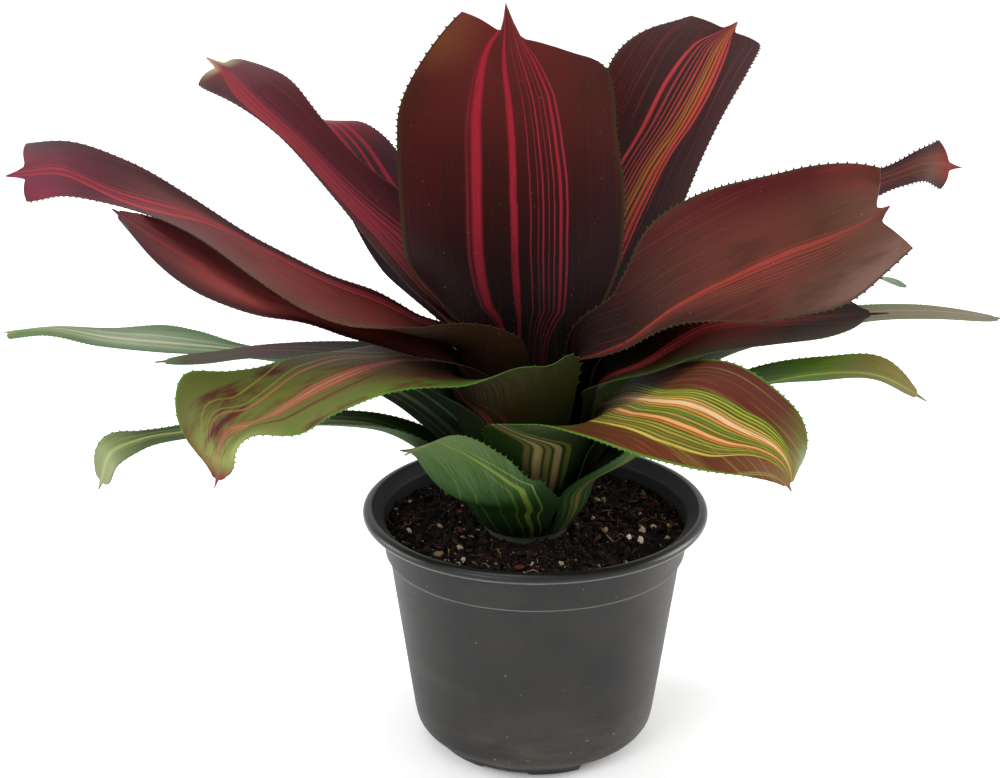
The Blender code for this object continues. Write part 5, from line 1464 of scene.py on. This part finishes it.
def add_all_bits():
    """Perlite, bark, crumbs of peat and fibres on the soil."""
    add_bits("perlite", sizes=(0.8, 4.0), flat=((.6, 1), (.5, .9)), rough=.2, lift=.1, seed=11,
             finish=bit_finish("perlite", "a89478", "6e5a40", "d8ccb8", porous=True))
    add_bits("bark", sizes=(2.0, 7.0), flat=((.3, .7), (.12, .25)), rough=.1, lift=.08, seed=23,
             finish=bit_finish("bark", "30130e", "160a07", "54281c"))
    add_bits("crumbs", sizes=(1.0, 3.6), flat=((.6, 1), (.55, 1)), rough=.14, lift=.1, seed=37,
             finish=bit_finish("peat_crumb", "0e0a07", "060403", "22160f"))
    add_fibres()


def peat_finish():
    """Damp dark peat with brown and reddish crumbs and a few pale grains."""
    finish = Finish("damp_peat")
    where, _, _, _ = finish.position()
    clods = finish.noise(where, 160.0, 4.0, 0.65)
    grains = finish.noise(where, 700.0, 3.0, 0.6)
    pale = finish.noise(where, 430.0, 1.0, 0.5)
    color = finish.blend(clods.ramp(0.35, 0.7), linear("060504"), linear("140d0a"))
    color = finish.blend(grains.ramp(0.56, 0.7) * 0.8, color, linear("40261a"))
    color = finish.blend(pale.ramp(0.7, 0.74) * 0.8, color, linear("9a8868"))
    roughness = 0.72 + grains * 0.22
    return finish.done(Base_Color=color, Roughness=roughness, Specular_IOR_Level=SOIL_GLOSS,
                       Normal=finish.bump(clods * 1.2 + grains * 0.8, *PEAT_RELIEF))


def bit_finish(name, color_hex, dark_hex, light_hex, porous=False):
    """A sort of bit in the soil: its usual, darkest and lightest colour, and for each bit a tone between."""
    finish = Finish(name + "_bits")
    _, tone, other, _ = finish.attribute("bit")
    where, _, _, _ = finish.position()
    mottle = finish.noise(where, 900.0 if porous else 600.0, 3.0, 0.65)
    color = finish.blend(tone, linear(dark_hex), linear(color_hex))
    color = finish.blend(other.ramp(0.6, 1.0), color, linear(light_hex))
    color = finish.shade(color, 0.7 + mottle * 0.6)
    roughness = 0.6 + mottle * 0.3
    return finish.done(Base_Color=color, Roughness=roughness, Specular_IOR_Level=SOIL_GLOSS,
                       Normal=finish.bump(mottle, *BIT_RELIEF))


def stem_finish():
    """The short stem: dark green, ringed where old leaves sat."""
    finish = Finish("stem_skin")
    where, x, y, z = finish.position()
    rings = finish.drawn_out(x * 20, y * 20, z * 420)
    spots = finish.noise(where, 300.0, 3.0)
    color = finish.blend(rings.ramp(0.35, 0.65), linear("121a0c"), linear("24301a"))
    color = finish.blend(spots.ramp(0.55, 0.7) * 0.6, color, linear("33241a"))
    roughness = 0.5 + spots * 0.2
    return finish.done(Base_Color=color, Roughness=roughness, Normal=finish.bump(rings, *STEM_RELIEF))


def add_floor():
    """The plain pale floor, far wider than the view."""
    points = [(x * FLOOR_HALF, y * FLOOR_HALF, 0) for x, y in ((-1, -1), (1, -1), (1, 1), (-1, 1))]
    mesh = bpy.data.meshes.new("floor_plane")
    mesh.from_pydata(points, [], [(0, 1, 2, 3)])
    finish = Finish("floor_paper")
    mesh.materials.append(finish.done(Base_Color=linear("fcfcfc"), Roughness=0.95))
    floor = bpy.data.objects.new("floor_plane", mesh)
    bpy.context.scene.collection.objects.link(floor)


def add_light(name, place, size, power):
    """A soft square light at a place, facing the plant."""
    light = bpy.data.lights.new(name, "AREA")
    light.shape = "SQUARE"
    light.size = size
    light.energy = power
    lamp = bpy.data.objects.new(name, light)
    bpy.context.scene.collection.objects.link(lamp)
    lamp.location = place
    lamp.rotation_euler = (Vector(PLANT_MIDDLE) - Vector(place)).to_track_quat("-Z", "Y").to_euler()


def add_sky():
    """White light from all round."""
    world = bpy.data.worlds.new("studio_air")
    bpy.context.scene.world = world
    world.use_nodes = True
    air = world.node_tree.nodes["Background"]
    air.inputs["Color"].default_value = (1, 1, 1, 1)
    air.inputs["Strength"].default_value = SKY_STRENGTH


def add_camera():
    """The camera where the photograph was taken from."""
    lens = bpy.data.cameras.new("photo_camera")
    lens.lens = CAMERA_LENS
    lens.sensor_width = CAMERA_SENSOR
    lens.clip_start = 0.01
    lens.clip_end = 60
    camera = bpy.data.objects.new("photo_camera", lens)
    bpy.context.scene.collection.objects.link(camera)
    camera.location = CAMERA_PLACE
    camera.rotation_euler = (math.radians(90 - CAMERA_DOWN), 0, 0)
    bpy.context.scene.camera = camera


def dress_stem():
    """The stem stays as it is in the CAD, in its own finish."""
    finish = stem_finish()
    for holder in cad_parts["stem"].material_slots:
        holder.material = finish


def main():
    add_leaves()
    add_pot()
    add_soil()
    add_all_bits()
    dress_stem()
    add_floor()
    add_sky()
    for name, place, size, power in LIGHTS:
        add_light(name, place, size, power)
    add_camera()
    bpy.context.scene.view_settings.view_transform = "Standard"


main()
